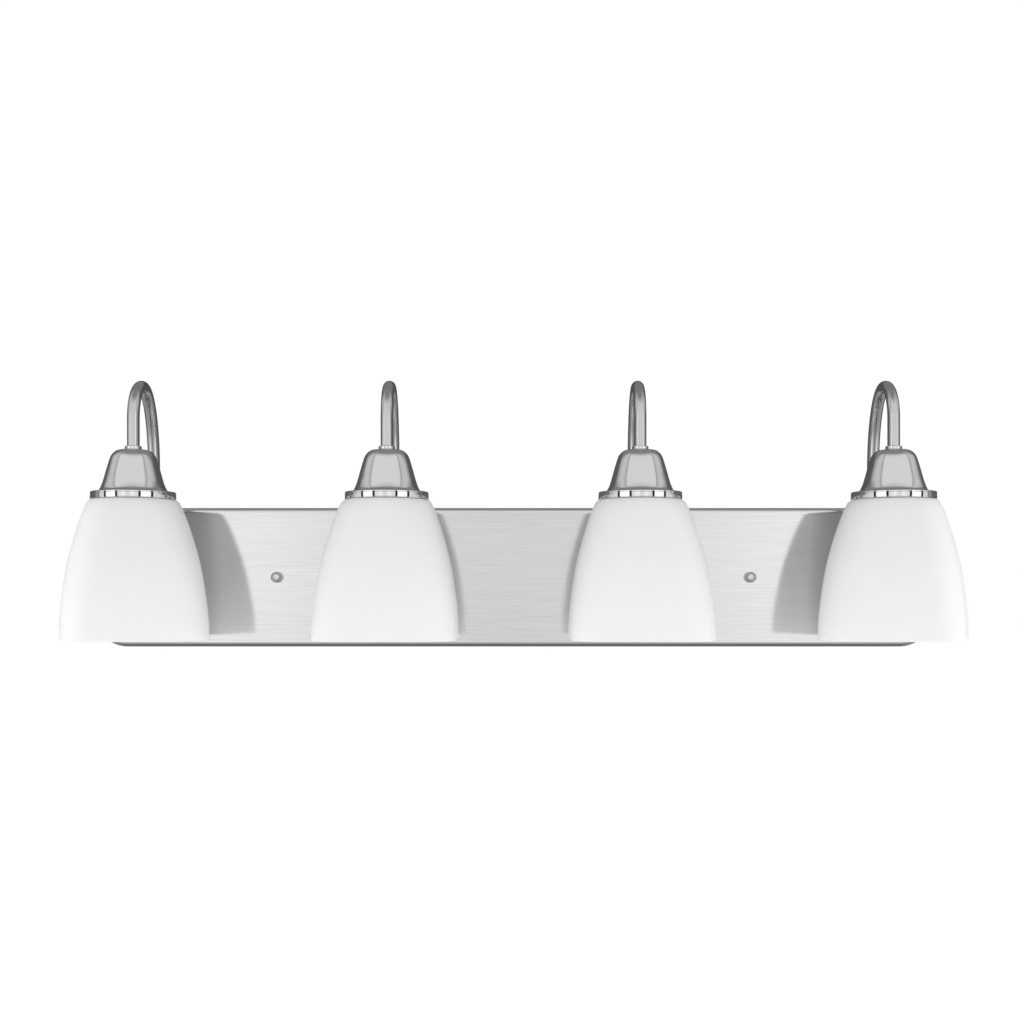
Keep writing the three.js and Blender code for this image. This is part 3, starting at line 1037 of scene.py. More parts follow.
@dataclass
class MountingHardware:
    """The strap on the wall box, its studs with their nuts, the ground screw and the terminal block."""

    slot_offset: float = 44.5
    box_slot: tuple[float, float] = (12.0, 4.8)
    stud_slot: tuple[float, float] = (4.82, 4.8)
    ground_slot: tuple[float, float] = (4.62, 4.6)
    stud_radius: float = 2.1
    stud_pitch: float = 0.8
    thread_depth: float = 0.25
    nut_gap: float = 0.3
    cap_radius: float = 4.75
    cap_height: float = 8.0
    block_pitches: float = 4.4
    well_radius: float = 2.4
    well_depth: float = 3.0
    screw_recess: float = 1.6

    def slot_tool(self, x: float, length: float, width: float) -> bpy.types.Object:
        """A cutter with round ends for a slot in the strap.

        Args:
            x: the slot's middle.
            length: its length.
            width: its width.

        Returns:
            The cutter.
        """
        tool = Bench.cylinder("slot_tool", width / 2, Vector((x, -6, 0)), Vector((x, 3, 0)), 24)
        for vertex in tool.data.vertices:
            side = 1 if vertex.co.x > x * MM else -1
            vertex.co.x += side * (length - width) / 2 * MM
        return tool

    def build_strap(self) -> None:
        """Models the strap with its rounded ends, slots and stud holes."""
        low, high = low_of("mounting_strap"), high_of("mounting_strap")
        strap = Bench.block("steel_strap", low, high)
        end = (high.z - low.z) / 2
        for vertex in strap.data.vertices:
            vertex.co.x -= math.copysign(end * MM, vertex.co.x)
        for side, stud in ((-1, "stud_left"), (1, "stud_right")):
            x = side * (high.x - end)
            cap = Bench.cylinder("strap_end", end, Vector((x, low.y, 0)), Vector((x, high.y, 0)), 48)
            Bench.fuse(strap, cap)
            Bench.cut(strap, self.slot_tool(side * self.slot_offset, *self.box_slot))
            Bench.cut(strap, self.slot_tool(middle_of(stud).x, *self.stud_slot))
        Bench.cut(strap, self.slot_tool(middle_of("ground_screw").x, *self.ground_slot))
        Bench.soften(strap, 0.25)
        hand_over(dress(strap, ZINC_STEEL), "mounting_strap")

    def build_stud(self, side: str) -> None:
        """Models one threaded stud with its hexagon nut and its cap nut.

        Args:
            side: left or right.
        """
        node = f"stud_{side}"
        low, high, x = low_of(node), high_of(node), middle_of(node).x
        radius, depth = self.stud_radius - 0.02, self.thread_depth
        stud = threaded(f"threaded_stud_{side}", radius, depth, self.stud_pitch, -high.y, -low.y, 20)
        Bench.stand(stud, Matrix.Translation((x * MM, 0, 0)) @ TO_FRONT)
        hand_over(dress(stud, ZINC_STEEL), node)
        nut = hexagon_nut(f"hexagon_nut_{side}", f"stud_nut_{side}", self.stud_radius + self.nut_gap)
        hand_over(dress(nut, ZINC_STEEL), f"stud_nut_{side}")
        cap = self.cap_nut(side)
        Bench.stand(cap, Matrix.Translation((x * MM, high_of(f"cap_nut_{side}").y * MM, 0)) @ TO_FRONT)
        # slot 0 is the darker nickel for the painted dark reflection ring on the sides, slot 1 the lighter
        # cup nickel for the crown
        hand_over(dress(cap, CAP_NICKEL_PAINTED_DARK, CUP_NICKEL), f"cap_nut_{side}")

    def cap_nut(self, side: str) -> bpy.types.Object:
        """A cap nut with a bored back, a chamfered rim, a shallow groove and a gently domed crown.

        Args:
            side: left or right.

        Returns:
            The nut, standing on the origin with its crown up.
        """
        radius, top, bore = self.cap_radius, self.cap_height, self.stud_radius + self.nut_gap
        bore_end, chamfer = 5.3, 0.25
        shoulder, groove, crown = top - 2.2, top - 1.35, radius - 1.9
        outline = [
            (0.3, bore_end),
            (bore - 0.4, bore_end),
            (bore, bore_end - 0.4),
            (bore, 0.3),
            (bore + 0.3, 0.0),
            (radius - chamfer, 0.0),
            (radius, chamfer),
            (radius, shoulder),
            *arc((radius - 1.1, shoulder), 1.1, 10, 80, 6),
            (radius - 1.35, groove),
            (radius - 1.75, groove),
            (crown, top - 0.9),
            *arc((crown - 0.5, top - 0.75), 0.5, 10, 80, 4),
            (1.2, top - 0.08),
            (0.2, top),
        ]
        cap = Bench.turned(f"domed_cap_nut_{side}", outline, 48, closed=False)
        # painted reflection: the crown goes on the lighter nickel, and every other face keeps the darker copy
        # as a painted dark ring
        paint(cap, 1, lambda at: at.z > top - 1.0 and math.hypot(at.x, at.y) < crown + 0.1)
        return cap

    def build_ground_screw(self) -> None:
        """Models the green screw with its washer head and driving slot."""
        height = size_of("ground_screw").y
        shank, washer, head = 2.0, 4.0, 2.8
        slot_half, slot_depth = 0.45, 0.8
        outline = [
            (0.3, 0.0),
            (shank - 0.3, 0.0),
            (shank, 0.3),
            (shank, height - 2.2),
            (washer - 0.2, height - 2.2),
            (washer, height - 2.0),
            (washer, height - 1.2),
            (washer - 0.3, height - 1.0),
            (head + 0.15, height - 0.9),
            (head, height - 0.3),
            (head - 0.3, height),
            (0.3, height),
        ]
        screw = Bench.turned("green_ground_screw", outline, 40, closed=False)
        low, high = Vector((-slot_half, -5, height - slot_depth)), Vector((slot_half, 5, height + 1))
        Bench.cut(screw, Bench.block("slot", low, high))
        Bench.smooth()
        place = Matrix.Translation((middle_of("ground_screw").x * MM, high_of("ground_screw").y * MM, 0))
        Bench.stand(screw, place @ TO_FRONT)
        hand_over(dress(screw, GREEN_STEEL), "ground_screw")

    def build_terminal_block(self) -> None:
        """Models the block with its eight wells and a slotted screw in each."""
        low, high = low_of("terminal_block"), high_of("terminal_block")
        size = high - low
        gap_half, gap_depth, past = 0.4, 1.6, 20.0
        body = Bench.block("nylon_terminal_block", low, high)
        screws = []
        for column in (-1.5, -0.5, 0.5, 1.5):
            for row in (-1, 1):
                mouth = Vector((column * size.x / self.block_pitches, low.y, row * size.z / 4))
                start, end = mouth - Vector((0, 1, 0)), mouth + Vector((0, self.well_depth, 0))
                Bench.cut(body, Bench.cylinder("well", self.well_radius, start, end))
                screws.append(coat(self.well_screw(mouth), 1, NYLON, BRASS))
            if column < 1.5:
                x = (column + 0.5) * size.x / self.block_pitches
                start = Vector((x - gap_half, low.y - 1, -past))
                end = Vector((x + gap_half, low.y + gap_depth, past))
                Bench.cut(body, Bench.block("gap", start, end))
        Bench.soften(body, 0.3)
        dress(body, NYLON, BRASS)
        hand_over(Bench.join([body, *screws]), "terminal_block")

    def well_screw(self, mouth: Vector) -> bpy.types.Object:
        """A slotted brass screw at the bottom of a well.

        Args:
            mouth: the middle of the well's mouth.

        Returns:
            The screw.
        """
        slot_half, slot_depth, past = 0.3, 0.5, 3.0
        head, foot = Vector((0, self.screw_recess, 0)), Vector((0, self.well_depth - 0.1, 0))
        screw = Bench.cylinder("well_screw", self.well_radius - 0.5, mouth + head, mouth + foot)
        low = mouth + Vector((-slot_half, 0, -past))
        high = mouth + Vector((slot_half, self.screw_recess + slot_depth, past))
        Bench.cut(screw, Bench.block("slot", low, high))
        return screw

    def build(self) -> None:
        """Models every part of the hardware."""
        self.build_strap()
        self.build_stud("left")
        self.build_stud("right")
        self.build_ground_screw()
        self.build_terminal_block()


def threaded(
    name: str,
    radius: float,
    depth: float,
    pitch: float,
    low: float,
    high: float,
    count: int,
    bore: float = 0.0,
) -> bpy.types.Object:
    """A rod or a sleeve with a real thread on its outside.

    Args:
        name: the piece's name.
        radius: the radius over the thread.
        depth: the thread's depth.
        pitch: its pitch.
        low: the lowest height.
        high: the highest height.
        count: the points of each ring.
        bore: the radius of a plain bore, or 0 for a solid rod.

    Returns:
        The piece about the Z axis.
    """
    rings_per_turn = 8
    steps = max(int((high - low) / pitch * rings_per_turn), rings_per_turn)

    def thread_ring(z: float) -> Ring:
        fade = min((z - low) / pitch, (high - z) / pitch, 1.0)

        def reach(angle: float) -> float:
            wave = 0.5 + 0.5 * math.cos(2 * math.pi * z / pitch - angle)
            return radius - depth * (1 - fade * wave)

        return ring_of(count, z, reach)

    rings = [thread_ring(low + (high - low) * k / steps) for k in range(steps + 1)]
    if bore:
        rings += [soft_square(bore, 0.0, z, count) for z in (high, low)]
    return Bench.loft(name, rings, closed=bool(bore), smooth_angle=50.0)


def hexagon_nut(name: str, node: str, bore: float) -> bpy.types.Object:
    """A hexagon nut that faces the front, chamfered, where its CAD node is.

    Args:
        name: the piece's name.
        node: the CAD node.
        bore: the hole's radius.

    Returns:
        The nut.
    """
    middle, size = middle_of(node), size_of(node)
    half = Vector((0, size.y / 2, 0))
    past = Vector((0, 2, 0))
    nut = Bench.cylinder(name, max(size.x, size.z) / 2, middle + half, middle - half, 6)
    widest = max(vertex.co.x for vertex in nut.data.vertices) - middle.x * MM
    if size.x > size.z and widest < (size.x / 2 - 0.2) * MM:
        centre = Matrix.Translation(middle * MM)
        spin = Matrix.Rotation(math.radians(30), 4, "Y")
        Bench.stand(nut, centre @ spin @ centre.inverted())
    Bench.cut(nut, Bench.cylinder("bore", bore, middle + half + past, middle - half - past))
    Bench.soften(nut, 0.35)
    return nut


# ---- arms ----


@dataclass
class LightArm:
    """A bent tube from the pan over to the cup, with its seat, its lock nut and its collar."""

    tube: float = 5.2
    wall: float = 1.3
    bend: float = 18.0
    arch_front: float = 30.0
    arch_reach: float = 38.0
    arch_drop: float = 70.0
    socket_depth: float = 9.0
    seat: float = 8.5
    seat_thickness: float = 2.5
    seat_sunk: float = 0.3
    fit_gap: float = 0.3

    def route(self) -> list[Vector]:
        """The tube's centreline: out of the pan, up, over a lopsided arch and down into the socket.

        Returns:
            Its stations in the plane X = 0.
        """
        high = high_of("arm_tube_1")
        entry = middle_of("arm_lock_nut_1").z
        front = middle_of("cup_1").y
        crown = high.z - self.tube
        rear_leg = front + self.arch_front + self.arch_reach
        crown_y = front + self.arch_front
        bend = arc((rear_leg + self.bend, entry + self.bend), self.bend, 270, 180, 14)
        rear = [
            (crown_y + self.arch_reach * along, crown - self.arch_drop + self.arch_drop * up)
            for along, up in arc((0.0, 0.0), 1.0, 0, 90, 30)[:-1]
        ]
        over = arc((crown_y, crown - self.arch_front), self.arch_front, 90, 180, 22)
        end = high_of("socket_body_1").z - self.socket_depth
        points = [(high.y, entry), *bend, *rear, *over, (front, end)]
        return [Vector((0.0, y, z)) for y, z in points]

    def tube_piece(self) -> bpy.types.Object:
        """The bent tube with its seat.

        Returns:
            The tube in the plane X = 0.
        """
        route = self.route()
        arm = Bench.circle("bent_arm", self.tube, 40, route[0], facing="Y")
        Bench.follow(route)
        Bench.seal(50.0)
        Bench.modify(arm, "SOLIDIFY", thickness=self.wall * MM, offset=-1.0)
        Bench.smooth(50.0)
        return Bench.join([arm, self.seat_piece(route[0].z)])

    def seat_piece(self, entry: float) -> bpy.types.Object:
        """The round seat where the tube meets the pan.

        Args:
            entry: the height of the tube's middle at the pan.

        Returns:
            The seat.
        """
        hole, edge = self.tube - 0.4, 1.2
        outline = [
            (hole, 0.0),
            (self.seat - 0.2, 0.0),
            (self.seat, 0.2),
            *arc((self.seat - edge, self.seat_thickness - edge), edge, 0, 90, 6),
            (hole, self.seat_thickness),
        ]
        seat = Bench.turned("arm_seat", outline, 48, closed=True)
        face = low_of("back_plate").y - self.seat_sunk
        return Bench.stand(seat, Matrix.Translation(Vector((0.0, face, entry)) * MM) @ TO_FRONT)

    def collar_piece(self) -> bpy.types.Object:
        """The small ring that closes the gap between the tube and the cup.

        Returns:
            The collar about the Z axis.
        """
        low, high = low_of("arm_collar_1").z, high_of("arm_collar_1").z
        radius = size_of("arm_collar_1").x / 2
        bore, edge = self.tube + self.fit_gap, 0.8
        outline = [
            (bore, low),
            (radius - 0.2, low),
            (radius, low + 0.25),
            (radius, high - edge - 0.1),
            *arc((radius - edge, high - edge), edge, 10, 90, 6),
            (bore, high),
        ]
        return Bench.turned("collar_ring", outline, 56, closed=True)

    def build(self, xs: Sequence[float]) -> None:
        """Models one arm and copies it to each light.

        Args:
            xs: the lights' places along the bar.
        """
        tube = dress(self.tube_piece(), ARM_NICKEL)
        share_out(tube, "bent_arm", "arm_tube", [Matrix.Translation((x * MM, 0, 0)) for x in xs])
        collar = dress(self.collar_piece(), BRIGHT_NICKEL)
        share_out(collar, "collar_ring", "arm_collar", [axis_place(x) for x in xs])
        for number in range(1, len(xs) + 1):
            nut = hexagon_nut(f"arm_nut_{number}", f"arm_lock_nut_{number}", self.tube + self.fit_gap)
            hand_over(dress(nut, ZINC_STEEL), f"arm_lock_nut_{number}")


# ---- cup, socket and ring ----


@dataclass
class Holder:
    """The bell cup with its polished flange, the lamp socket in it and the ring that clamps the shade."""

    bore: float = 5.5
    wall: float = 1.5
    flange: float = 35.0
    flange_thickness: float = 6.4
    top: float = 41.9
    socket_radius: float = 19.4
    contact_radius: float = 4.0
    ribs: int = 28

    def cup_piece(self) -> bpy.types.Object:
        """The spun cup.

        Returns:
            The cup about the Z axis.
        """
        base = low_of("cup_1").z
        bell = [
            (9.6, self.top),
            (13.2, 41.2),
            (16.0, 39.3),
            (18.4, 36.1),
            (21.5, 26.5),
            (24.8, 14.8),
            (26.5, 10.3),
            (27.7, 8.1),
            (29.4, 6.9),
        ]
        lip, groove = self.flange_thickness, self.flange - 0.4
        outer = [
            (self.bore, self.top),
            *flowing(bell, 5),
            (self.flange - 1.2, lip),
            *arc((self.flange - 1.0, lip - 1.0), 1.0, 80, 0, 6),
            (self.flange, lip - 1.3),
            (groove, lip - 1.5),
            (groove, lip - 1.7),
            (self.flange - 0.05, lip - 1.95),
            (self.flange, 0.5),
            (self.flange - 0.15, 0.15),
            (self.flange - 0.5, 0.0),
        ]
        inner_bell = [(r - self.wall, h) for r, h in flowing(bell[2:7], 4)]
        inside, roof, ceiling = self.flange - self.wall, 4.2, self.top - self.wall
        inner = [
            (inside, 0.0),
            (inside, roof),
            (26.6, roof),
            *reversed(inner_bell),
            (12.2, ceiling),
            (self.bore, ceiling),
        ]
        outline = [(r, base + h) for r, h in [*outer, *inner]]
        cup = Bench.turned("spun_cup", outline, 96, closed=True)
        rim = self.flange - 1.25
        paint(cup, 1, lambda at: at.z < base + lip + 0.05 and math.hypot(at.x, at.y) > rim)
        return cup

    def socket_piece(self) -> bpy.types.Object:
        """The moulded socket body.

        Returns:
            The body about the Z axis.
        """
        mouth, top = low_of("socket_body_1").z, high_of("socket_body_1").z
        shoulder, step = top - 14.0, top - 10.0
        neck, chamfer, edge = 15.0, 0.8, 1.5
        lead_hole = 2.4
        shell = size_of("socket_shell_1").x / 2 + 0.3
        contact = high_of("centre_contact_1").z + 0.3
        outline = [
            (shell, mouth + chamfer),
            (shell + chamfer, mouth),
            (self.socket_radius - 1.0, mouth),
            (self.socket_radius, mouth + 1.0),
            (self.socket_radius, shoulder - edge),
            *arc((self.socket_radius - edge, shoulder - edge), edge, 0, 90, 5),
            (neck, shoulder),
            (neck, top - chamfer),
            (neck - chamfer, top),
            (self.bore, top),
            (self.bore, step),
            (lead_hole, step),
            (lead_hole, contact),
            (shell, contact),
        ]
        return Bench.turned("moulded_socket", outline, 64, closed=True)

    def shell_piece(self) -> bpy.types.Object:
        """The pressed screw shell.

        Returns:
            The shell about the Z axis.
        """
        low, high = low_of("socket_shell_1").z, high_of("socket_shell_1").z
        radius, depth = size_of("socket_shell_1").x / 2, 0.35
        return threaded("screw_shell", radius, depth, LAMP_PITCH, low, high, 48, bore=radius - 0.9)

    def contact_piece(self) -> bpy.types.Object:
        """The brass contact, with softened edges.

        Returns:
            The contact about the Z axis.
        """
        low, high = low_of("centre_contact_1").z, high_of("centre_contact_1").z
        start, end = Vector((0, 0, low)), Vector((0, 0, high))
        contact = Bench.cylinder("brass_contact", self.contact_radius, start, end)
        Bench.soften(contact, 0.2)
        return contact

    def ring_piece(self) -> bpy.types.Object:
        """The ribbed ring under the shade.

        Returns:
            The ring about the Z axis.
        """
        bottom, top = low_of("retaining_ring_1").z, high_of("retaining_ring_1").z
        outer = size_of("retaining_ring_1").x / 2 - 0.3
        bore = self.socket_radius + 0.35
        count = self.ribs * 6

        def ribbed(radius: float, z: float, depth: float = 0.0) -> Ring:
            def reach(angle: float) -> float:
                return radius - depth * (0.5 - 0.5 * math.cos(self.ribs * angle)) ** 2

            return ring_of(count, z, reach)

        sleeve, step, chamfer, rib = bore + 2.1, top - 2.1, 0.3, 0.6
        rings = [
            ribbed(bore, bottom),
            ribbed(sleeve - 0.2, bottom),
            ribbed(sleeve, bottom + 0.2),
            ribbed(sleeve, step),
            ribbed(outer - chamfer, step, rib),
            ribbed(outer, step + chamfer, rib),
            ribbed(outer, top - chamfer, rib),
            ribbed(outer - chamfer, top, rib),
            ribbed(bore, top),
        ]
        return Bench.loft("ribbed_ring", rings, closed=True)

    def build(self, xs: Sequence[float]) -> None:
        """Models one holder and copies it to each light.

        Args:
            xs: the lights' places along the bar.
        """
        parts = [
            (dress(self.cup_piece(), CUP_NICKEL, BRIGHT_NICKEL), "spun_cup", "cup", Slot.PLATE),
            (dress(self.socket_piece(), PHENOLIC), "moulded_socket", "socket_body", Slot.PHENOLIC),
            (dress(self.shell_piece(), ALUMINIUM), "screw_shell", "socket_shell", Slot.ALUMINIUM),
            (dress(self.contact_piece(), BRASS), "brass_contact", "centre_contact", Slot.BRASS),
            (dress(self.ring_piece(), ALUMINIUM), "ribbed_ring", "retaining_ring", Slot.ALUMINIUM),
        ]
        for master, name, node, slot in parts:
            share_out(master, name, node, [axis_place(x) for x in xs])


# ---- shades ----


@dataclass
class Shade:
    """A bell of etched white glass, round at its neck and a soft square at its rim."""

    half_width: float = 59.2
    corner: float = 30.0
    neck: float = 36.5
    hole: float = 20.4
    wall: float = 3.6
    rim_round: float = 1.1
    rim_share: float = 0.012
    inner_share: float = 0.955
    points: int = 120
    flare: tuple[tuple[float, float], ...] = (
        (0.0, 1.0),
        (0.16, 0.977),
        (0.33, 0.892),
        (0.5, 0.766),
        (0.62, 0.636),
        (0.74, 0.472),
        (0.84, 0.32),
        (0.93, 0.16),
        (0.985, 0.03),
    )

    def section(self, share: float, flare: float, inset: float, z: float) -> Ring:
        """One ring of the shade's skin.

        Args:
            share: its height as a share of the shade's height.
            flare: how far the shade has opened, from 0 at the neck to 1 at the rim.
            inset: how far in from the outer skin.
            z: the ring's height.

        Returns:
            The ring's points.
        """
        half_width = self.neck + (self.half_width - self.neck) * flare - inset
        flat = (self.half_width - self.corner) * max(1 - share, 0.0) ** 0.6
        return soft_square(half_width, flat, z, self.points)

    def piece(self) -> bpy.types.Object:
        """The shade, lofted through its outer and inner skins.

        Returns:
            The shade about the Z axis.
        """
        rim, top = low_of("shade_2").z, high_of("shade_2").z
        height = top - rim
        line = flowing(list(self.flare), 6)
        bead = self.rim_round
        rings = []
        for inset, lift in reversed(arc((bead, bead), bead, 190, 270, 6)):
            rings.append(self.section(0.0, 1.0, inset, rim + lift))
        outer = [point for point in line if point[0] > self.rim_share]
        rings += [self.section(share, flare, 0.0, rim + height * share) for share, flare in outer]
        inside = self.neck - self.wall
        rounds = [
            (self.neck - 0.15, 1.2),
            (self.neck - 0.45, 0.65),
            (self.neck - 0.95, 0.2),
            (self.neck - 1.7, 0.0),
            (self.hole, 0.0),
            (self.hole, self.wall),
            (inside - 4.0, self.wall),
            (inside - 1.6, self.wall + 0.8),
        ]
        rings += [soft_square(radius, 0.0, top - drop, self.points) for radius, drop in rounds]
        inner = [point for point in outer if point[0] < self.inner_share]
        for share, flare in reversed(inner):
            rings.append(self.section(share, flare, self.wall, rim + height * share))
        for inset, lift in reversed(arc((self.wall - bead, bead), bead, 270, 350, 6)):
            rings.append(self.section(0.0, 1.0, inset, rim + lift))
        return Bench.loft("etched_shade", rings, closed=True)

    def build(self, xs: Sequence[float], turns: Sequence[float]) -> None:
        """Models one shade and copies it to each light.

        Args:
            xs: the lights' places along the bar.
            turns: each shade's turn about its axis at rest, in degrees.
        """
        master = dress(self.piece(), SHADE_GLASS)
        spins = [Matrix.Rotation(math.radians(turn), 4, "Z") for turn in turns]
        places = [axis_place(x) @ spin for x, spin in zip(xs, spins)]
        share_out(master, "etched_shade", "shade", places)


# ---- bulbs ----


@dataclass
class Bulb:
    """A globe bulb with a threaded base."""

    radius: float = 29.8
    glass_wall: float = 1.0
    base_radius: float = 13.0

    def glass_outline(self, low: float, base: float, inset: float) -> Outline:
        """The glass's outline from its bottom to its neck.

        Args:
            low: the bulb's lowest height.
            base: the base's lowest height.
            inset: how far in from the outer skin.

        Returns:
            The outline.
        """
        neck = self.base_radius - 1.3 - inset
        globe = arc((0.0, low + self.radius), self.radius - inset, -89, 36, 26)
        throat = [(neck + 4.4, base - 14), (neck + 0.6, base - 4), (neck, base), (neck, base + 6)]
        return [*globe, *flowing([globe[-1], *throat], 5)[1:]]

    def glass_piece(self) -> bpy.types.Object:
        """The globe with its throat.

        Returns:
            The glass about the Z axis.
        """
        low, base = low_of("bulb_glass_1").z, low_of("bulb_base_1").z
        outer = self.glass_outline(low, base, 0.0)
        inner = self.glass_outline(low, base, self.glass_wall)
        return Bench.turned("bulb_globe", [*outer, *reversed(inner)], 72, closed=False)

    def base_piece(self) -> bpy.types.Object:
        """The threaded base with its insulator and its tip.

        Returns:
            The base about the Z axis.
        """
        low, top = low_of("bulb_base_1").z, high_of("bulb_base_1").z
        inner, depth = self.base_radius - 1.0, 0.7
        foot, shoulder, crown, tip_foot = low + 8, top - 6, top - 1.5, top - 1.7
        bore = inner - 0.1
        sleeve = threaded("bulb_base", self.base_radius, depth, LAMP_PITCH, low, shoulder, 64, bore)
        cone = [(0.3, foot), (inner, foot), (inner, shoulder), (5.0, crown), (0.3, crown)]
        plug = Bench.turned("insulator", cone, 48, closed=False)
        button = [(0.3, tip_foot), (4.4, tip_foot), (4.2, top - 0.6), (3.4, top), (0.3, top)]
        tip = Bench.turned("tip", button, 32, closed=False)
        parts = [coat(p, i, ALUMINIUM, PHENOLIC, BRASS) for i, p in enumerate((sleeve, plug, tip))]
        return Bench.join(parts)

    def build(self, xs: Sequence[float]) -> None:
        """Models one bulb and copies it to each light.

        Args:
            xs: the lights' places along the bar.
        """
        places = [axis_place(x) for x in xs]
        glass = dress(self.glass_piece(), BULB_WHITE)
        share_out(glass, "bulb_globe", "bulb_glass", places)
        share_out(self.base_piece(), "bulb_base_metal", "bulb_base", places)


# ---- leads ----


@dataclass
class Lead:
    """A twin lead from a socket, through its arm's bore and along the pan to the terminal block."""

    number: int

    def build(self) -> None:
        """Dresses the CAD lead, which already follows its real way."""
        dress(frame["nodes"][f"socket_lead_{self.number}"], LEAD_SHEATH)


# ---- studio ----


# the room's walls, level with the fixture and above it: degrees, brightness and how blue
LEVEL_WALL: Wall = (
    (0, 0.84, 0),
    (4, 0.86, 0),
    (11, 1.1, 0),
    (20, 0.92, 0),
    (27.5, 0.84, 0),
    (29, 0.02, 0),
    (34, 0.02, 0),
    (35.5, 1.35, 0),
    (62, 1.2, 0),
    (63.5, 0.03, 0),
    (69, 0.03, 0),
    (70.5, 0.85, 0),
    (84, 0.75, 0),
    (90, 0.2, 0),
    (96, 0.4, 0),
    (108, 0.14, 0),
    (180, 0.1, 0),
)
RAISED_WALL: Wall = (
    (0, 0.87, 0),
    (60, 0.87, 0),
    (66, 0.86, 0),
    (68, 0.42, 0.02),
    (72, 0.44, 0.02),
    (76, 0.68, 0.02),
    (100, 0.74, 0.02),
    (112, 0.52, 0.02),
    (124, 0.14, 0),
    (180, 0.06, 0),
)


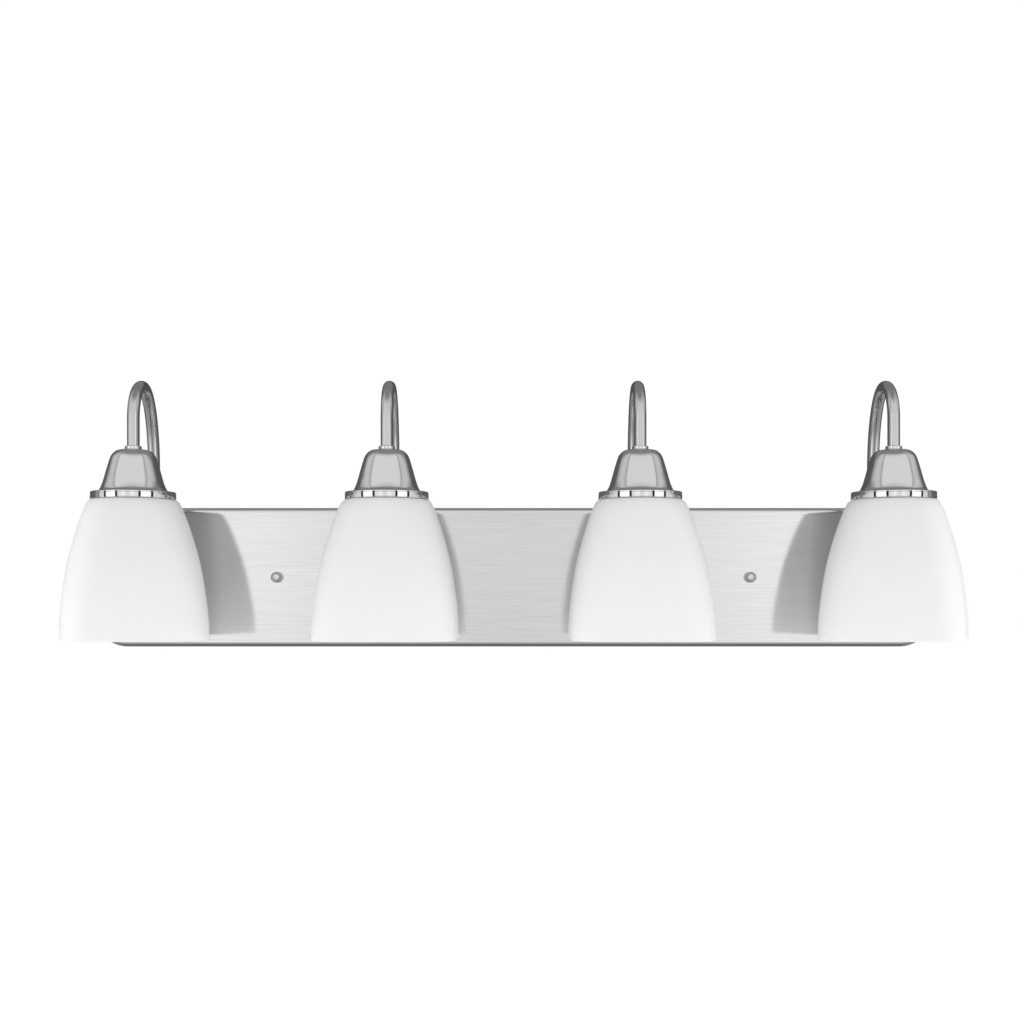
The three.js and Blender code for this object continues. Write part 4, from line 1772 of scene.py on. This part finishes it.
@dataclass
class Studio:
    """The camera, the white room, its soft lights and the pale floor."""

    camera_distance: float = 1288.0
    camera_height: float = -12.3
    lens: float = 49.5
    shift: tuple[float, float] = (-0.0015, 0.0771)
    floor_height: float = -700.0
    floor_size: float = 30000.0
    panel_size: float = 1400.0
    front_panel_size: float = 1600.0

    def build_camera(self) -> None:
        """Sets a level camera straight in front of the wall."""
        data = bpy.data.cameras.new("front_camera")
        data.lens = self.lens
        data.sensor_width = 36.0
        data.shift_x, data.shift_y = self.shift
        data.clip_start = 0.02
        camera = bpy.data.objects.new("front_camera", data)
        camera.location = Vector((0.0, -self.camera_distance, self.camera_height)) * MM
        camera.rotation_euler = (math.pi / 2, 0.0, 0.0)
        bpy.context.scene.collection.objects.link(camera)
        bpy.context.scene.camera = camera

    @staticmethod
    def wall_ring(graph: Graph, half_turn: Any, stops: Wall) -> bpy.types.NodeSocket:
        """The brightness of the room's walls all the way round.

        Args:
            graph: the world's graph.
            half_turn: the angle from straight in front, as a share of a half turn.
            stops: degrees from straight in front, the brightness there and how blue it is.

        Returns:
            The colour's socket.
        """
        colours = [
            (degrees / 180, (value * (1 - blue), value * (1 - blue / 3), value))
            for degrees, value, blue in stops
        ]
        return graph.ramp(half_turn, colours)

    def build_world(self) -> None:
        """Lights the room: large soft panels with narrow dark gaps round a pale front wall."""
        world = bpy.data.worlds.new("soft_studio")
        world.use_nodes = True
        bpy.context.scene.world = world
        graph = Graph(world.node_tree)
        direction = graph.node("ShaderNodeTexCoord").outputs["Generated"]
        x, y, z = graph.node("ShaderNodeSeparateXYZ", {0: direction}).outputs
        turn = graph.math("ARCTAN2", graph.math("ABSOLUTE", x), graph.math("MULTIPLY", y, -1.0))
        half_turn = graph.math("DIVIDE", turn, math.pi)
        level = self.wall_ring(graph, half_turn, LEVEL_WALL)
        raised = self.wall_ring(graph, half_turn, RAISED_WALL)
        behind = graph.progress(y, 0.0, 0.35)
        walls = graph.tint(graph.progress(z, 0.2, 0.42), level, raised)
        ceiling = graph.tint(behind, (0.3, 0.3, 0.305), (0.26, 0.26, 0.26))
        high_and_behind = graph.math("MULTIPLY", graph.progress(z, 0.42, 0.62), behind)
        walls = graph.tint(high_and_behind, walls, ceiling)
        walls = graph.tint(graph.progress(z, 0.7, 0.93), walls, ceiling)
        walls = graph.tint(graph.progress(z, -0.2, -0.45), walls, (0.42, 0.42, 0.42))
        walls = graph.tint(graph.progress(z, -0.72, -0.95), walls, (0.14, 0.14, 0.14))
        seen = graph.node("ShaderNodeLightPath").outputs["Is Camera Ray"]
        colour = graph.tint(seen, walls, (1.0, 1.0, 1.0))
        background = graph.node("ShaderNodeBackground", {"Color": colour, "Strength": 1.0}).outputs[0]
        graph.node("ShaderNodeOutputWorld", {"Surface": background})

    def build_light(self, name: str, place: Vector, size: float, power: float) -> None:
        """Adds a soft panel that lights without showing in the metal.

        Args:
            name: the panel's name.
            place: its middle.
            size: its side.
            power: its power in watts.
        """
        data = bpy.data.lights.new(name, "AREA")
        data.shape = "SQUARE"
        data.size = size * MM
        data.energy = power
        light = bpy.data.objects.new(name, data)
        light.location = place * MM
        light.rotation_euler = (-place).to_track_quat("-Z", "Y").to_euler()
        light.visible_camera = False
        light.visible_glossy = False
        bpy.context.scene.collection.objects.link(light)

    def build_floor(self) -> None:
        """Lays the pale floor well under the fixture."""
        bpy.ops.object.select_all(action="DESELECT")
        place = Vector((0.0, 0.0, self.floor_height)) * MM
        bpy.ops.mesh.primitive_plane_add(size=self.floor_size * MM, location=place)
        floor = bpy.context.object
        floor.name = "pale_floor"
        material = bpy.data.materials.new("pale_floor")
        material.use_nodes = True
        graph = Graph(material.node_tree)
        inputs = {
            "Base Color": (0.9, 0.9, 0.9, 1.0),
            "Roughness": 0.9,
            "Emission Color": (1, 1, 1, 1),
            "Emission Strength": 0.6,
        }
        surface = graph.node("ShaderNodeBsdfPrincipled", inputs).outputs[0]
        graph.node("ShaderNodeOutputMaterial", {"Surface": surface})
        floor.data.materials.append(material)
        floor.visible_glossy = False

    def build(self) -> None:
        """Sets up the whole studio."""
        bpy.context.scene.view_settings.view_transform = "Standard"
        self.build_camera()
        self.build_world()
        for name, side in (("left_panel", -1), ("right_panel", 1)):
            self.build_light(name, Vector((side * 1700, -250, 300)), self.panel_size, 12.0)
        self.build_light("front_panel", Vector((0, -1700, 1600)), self.front_panel_size, 5.5)
        self.build_floor()


def main() -> None:
    """Builds the light bar in order, then the studio."""
    logging.basicConfig(level=logging.INFO, format="%(message)s")
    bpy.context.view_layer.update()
    numbers = range(1, 5)
    xs = [middle_of(f"cup_{number}").x for number in numbers]
    BackPlate().build([f"arm_tube_{number}" for number in numbers], ["stud_left", "stud_right"])
    MountingHardware().build()
    LightArm().build(xs)
    Holder().build(xs)
    Shade().build(xs, [19.0, 0.0, 0.0, -19.0])
    Bulb().build(xs)
    for number in numbers:
        Lead(number).build()
    Studio().build()


if __name__ == "__main__":
    main()
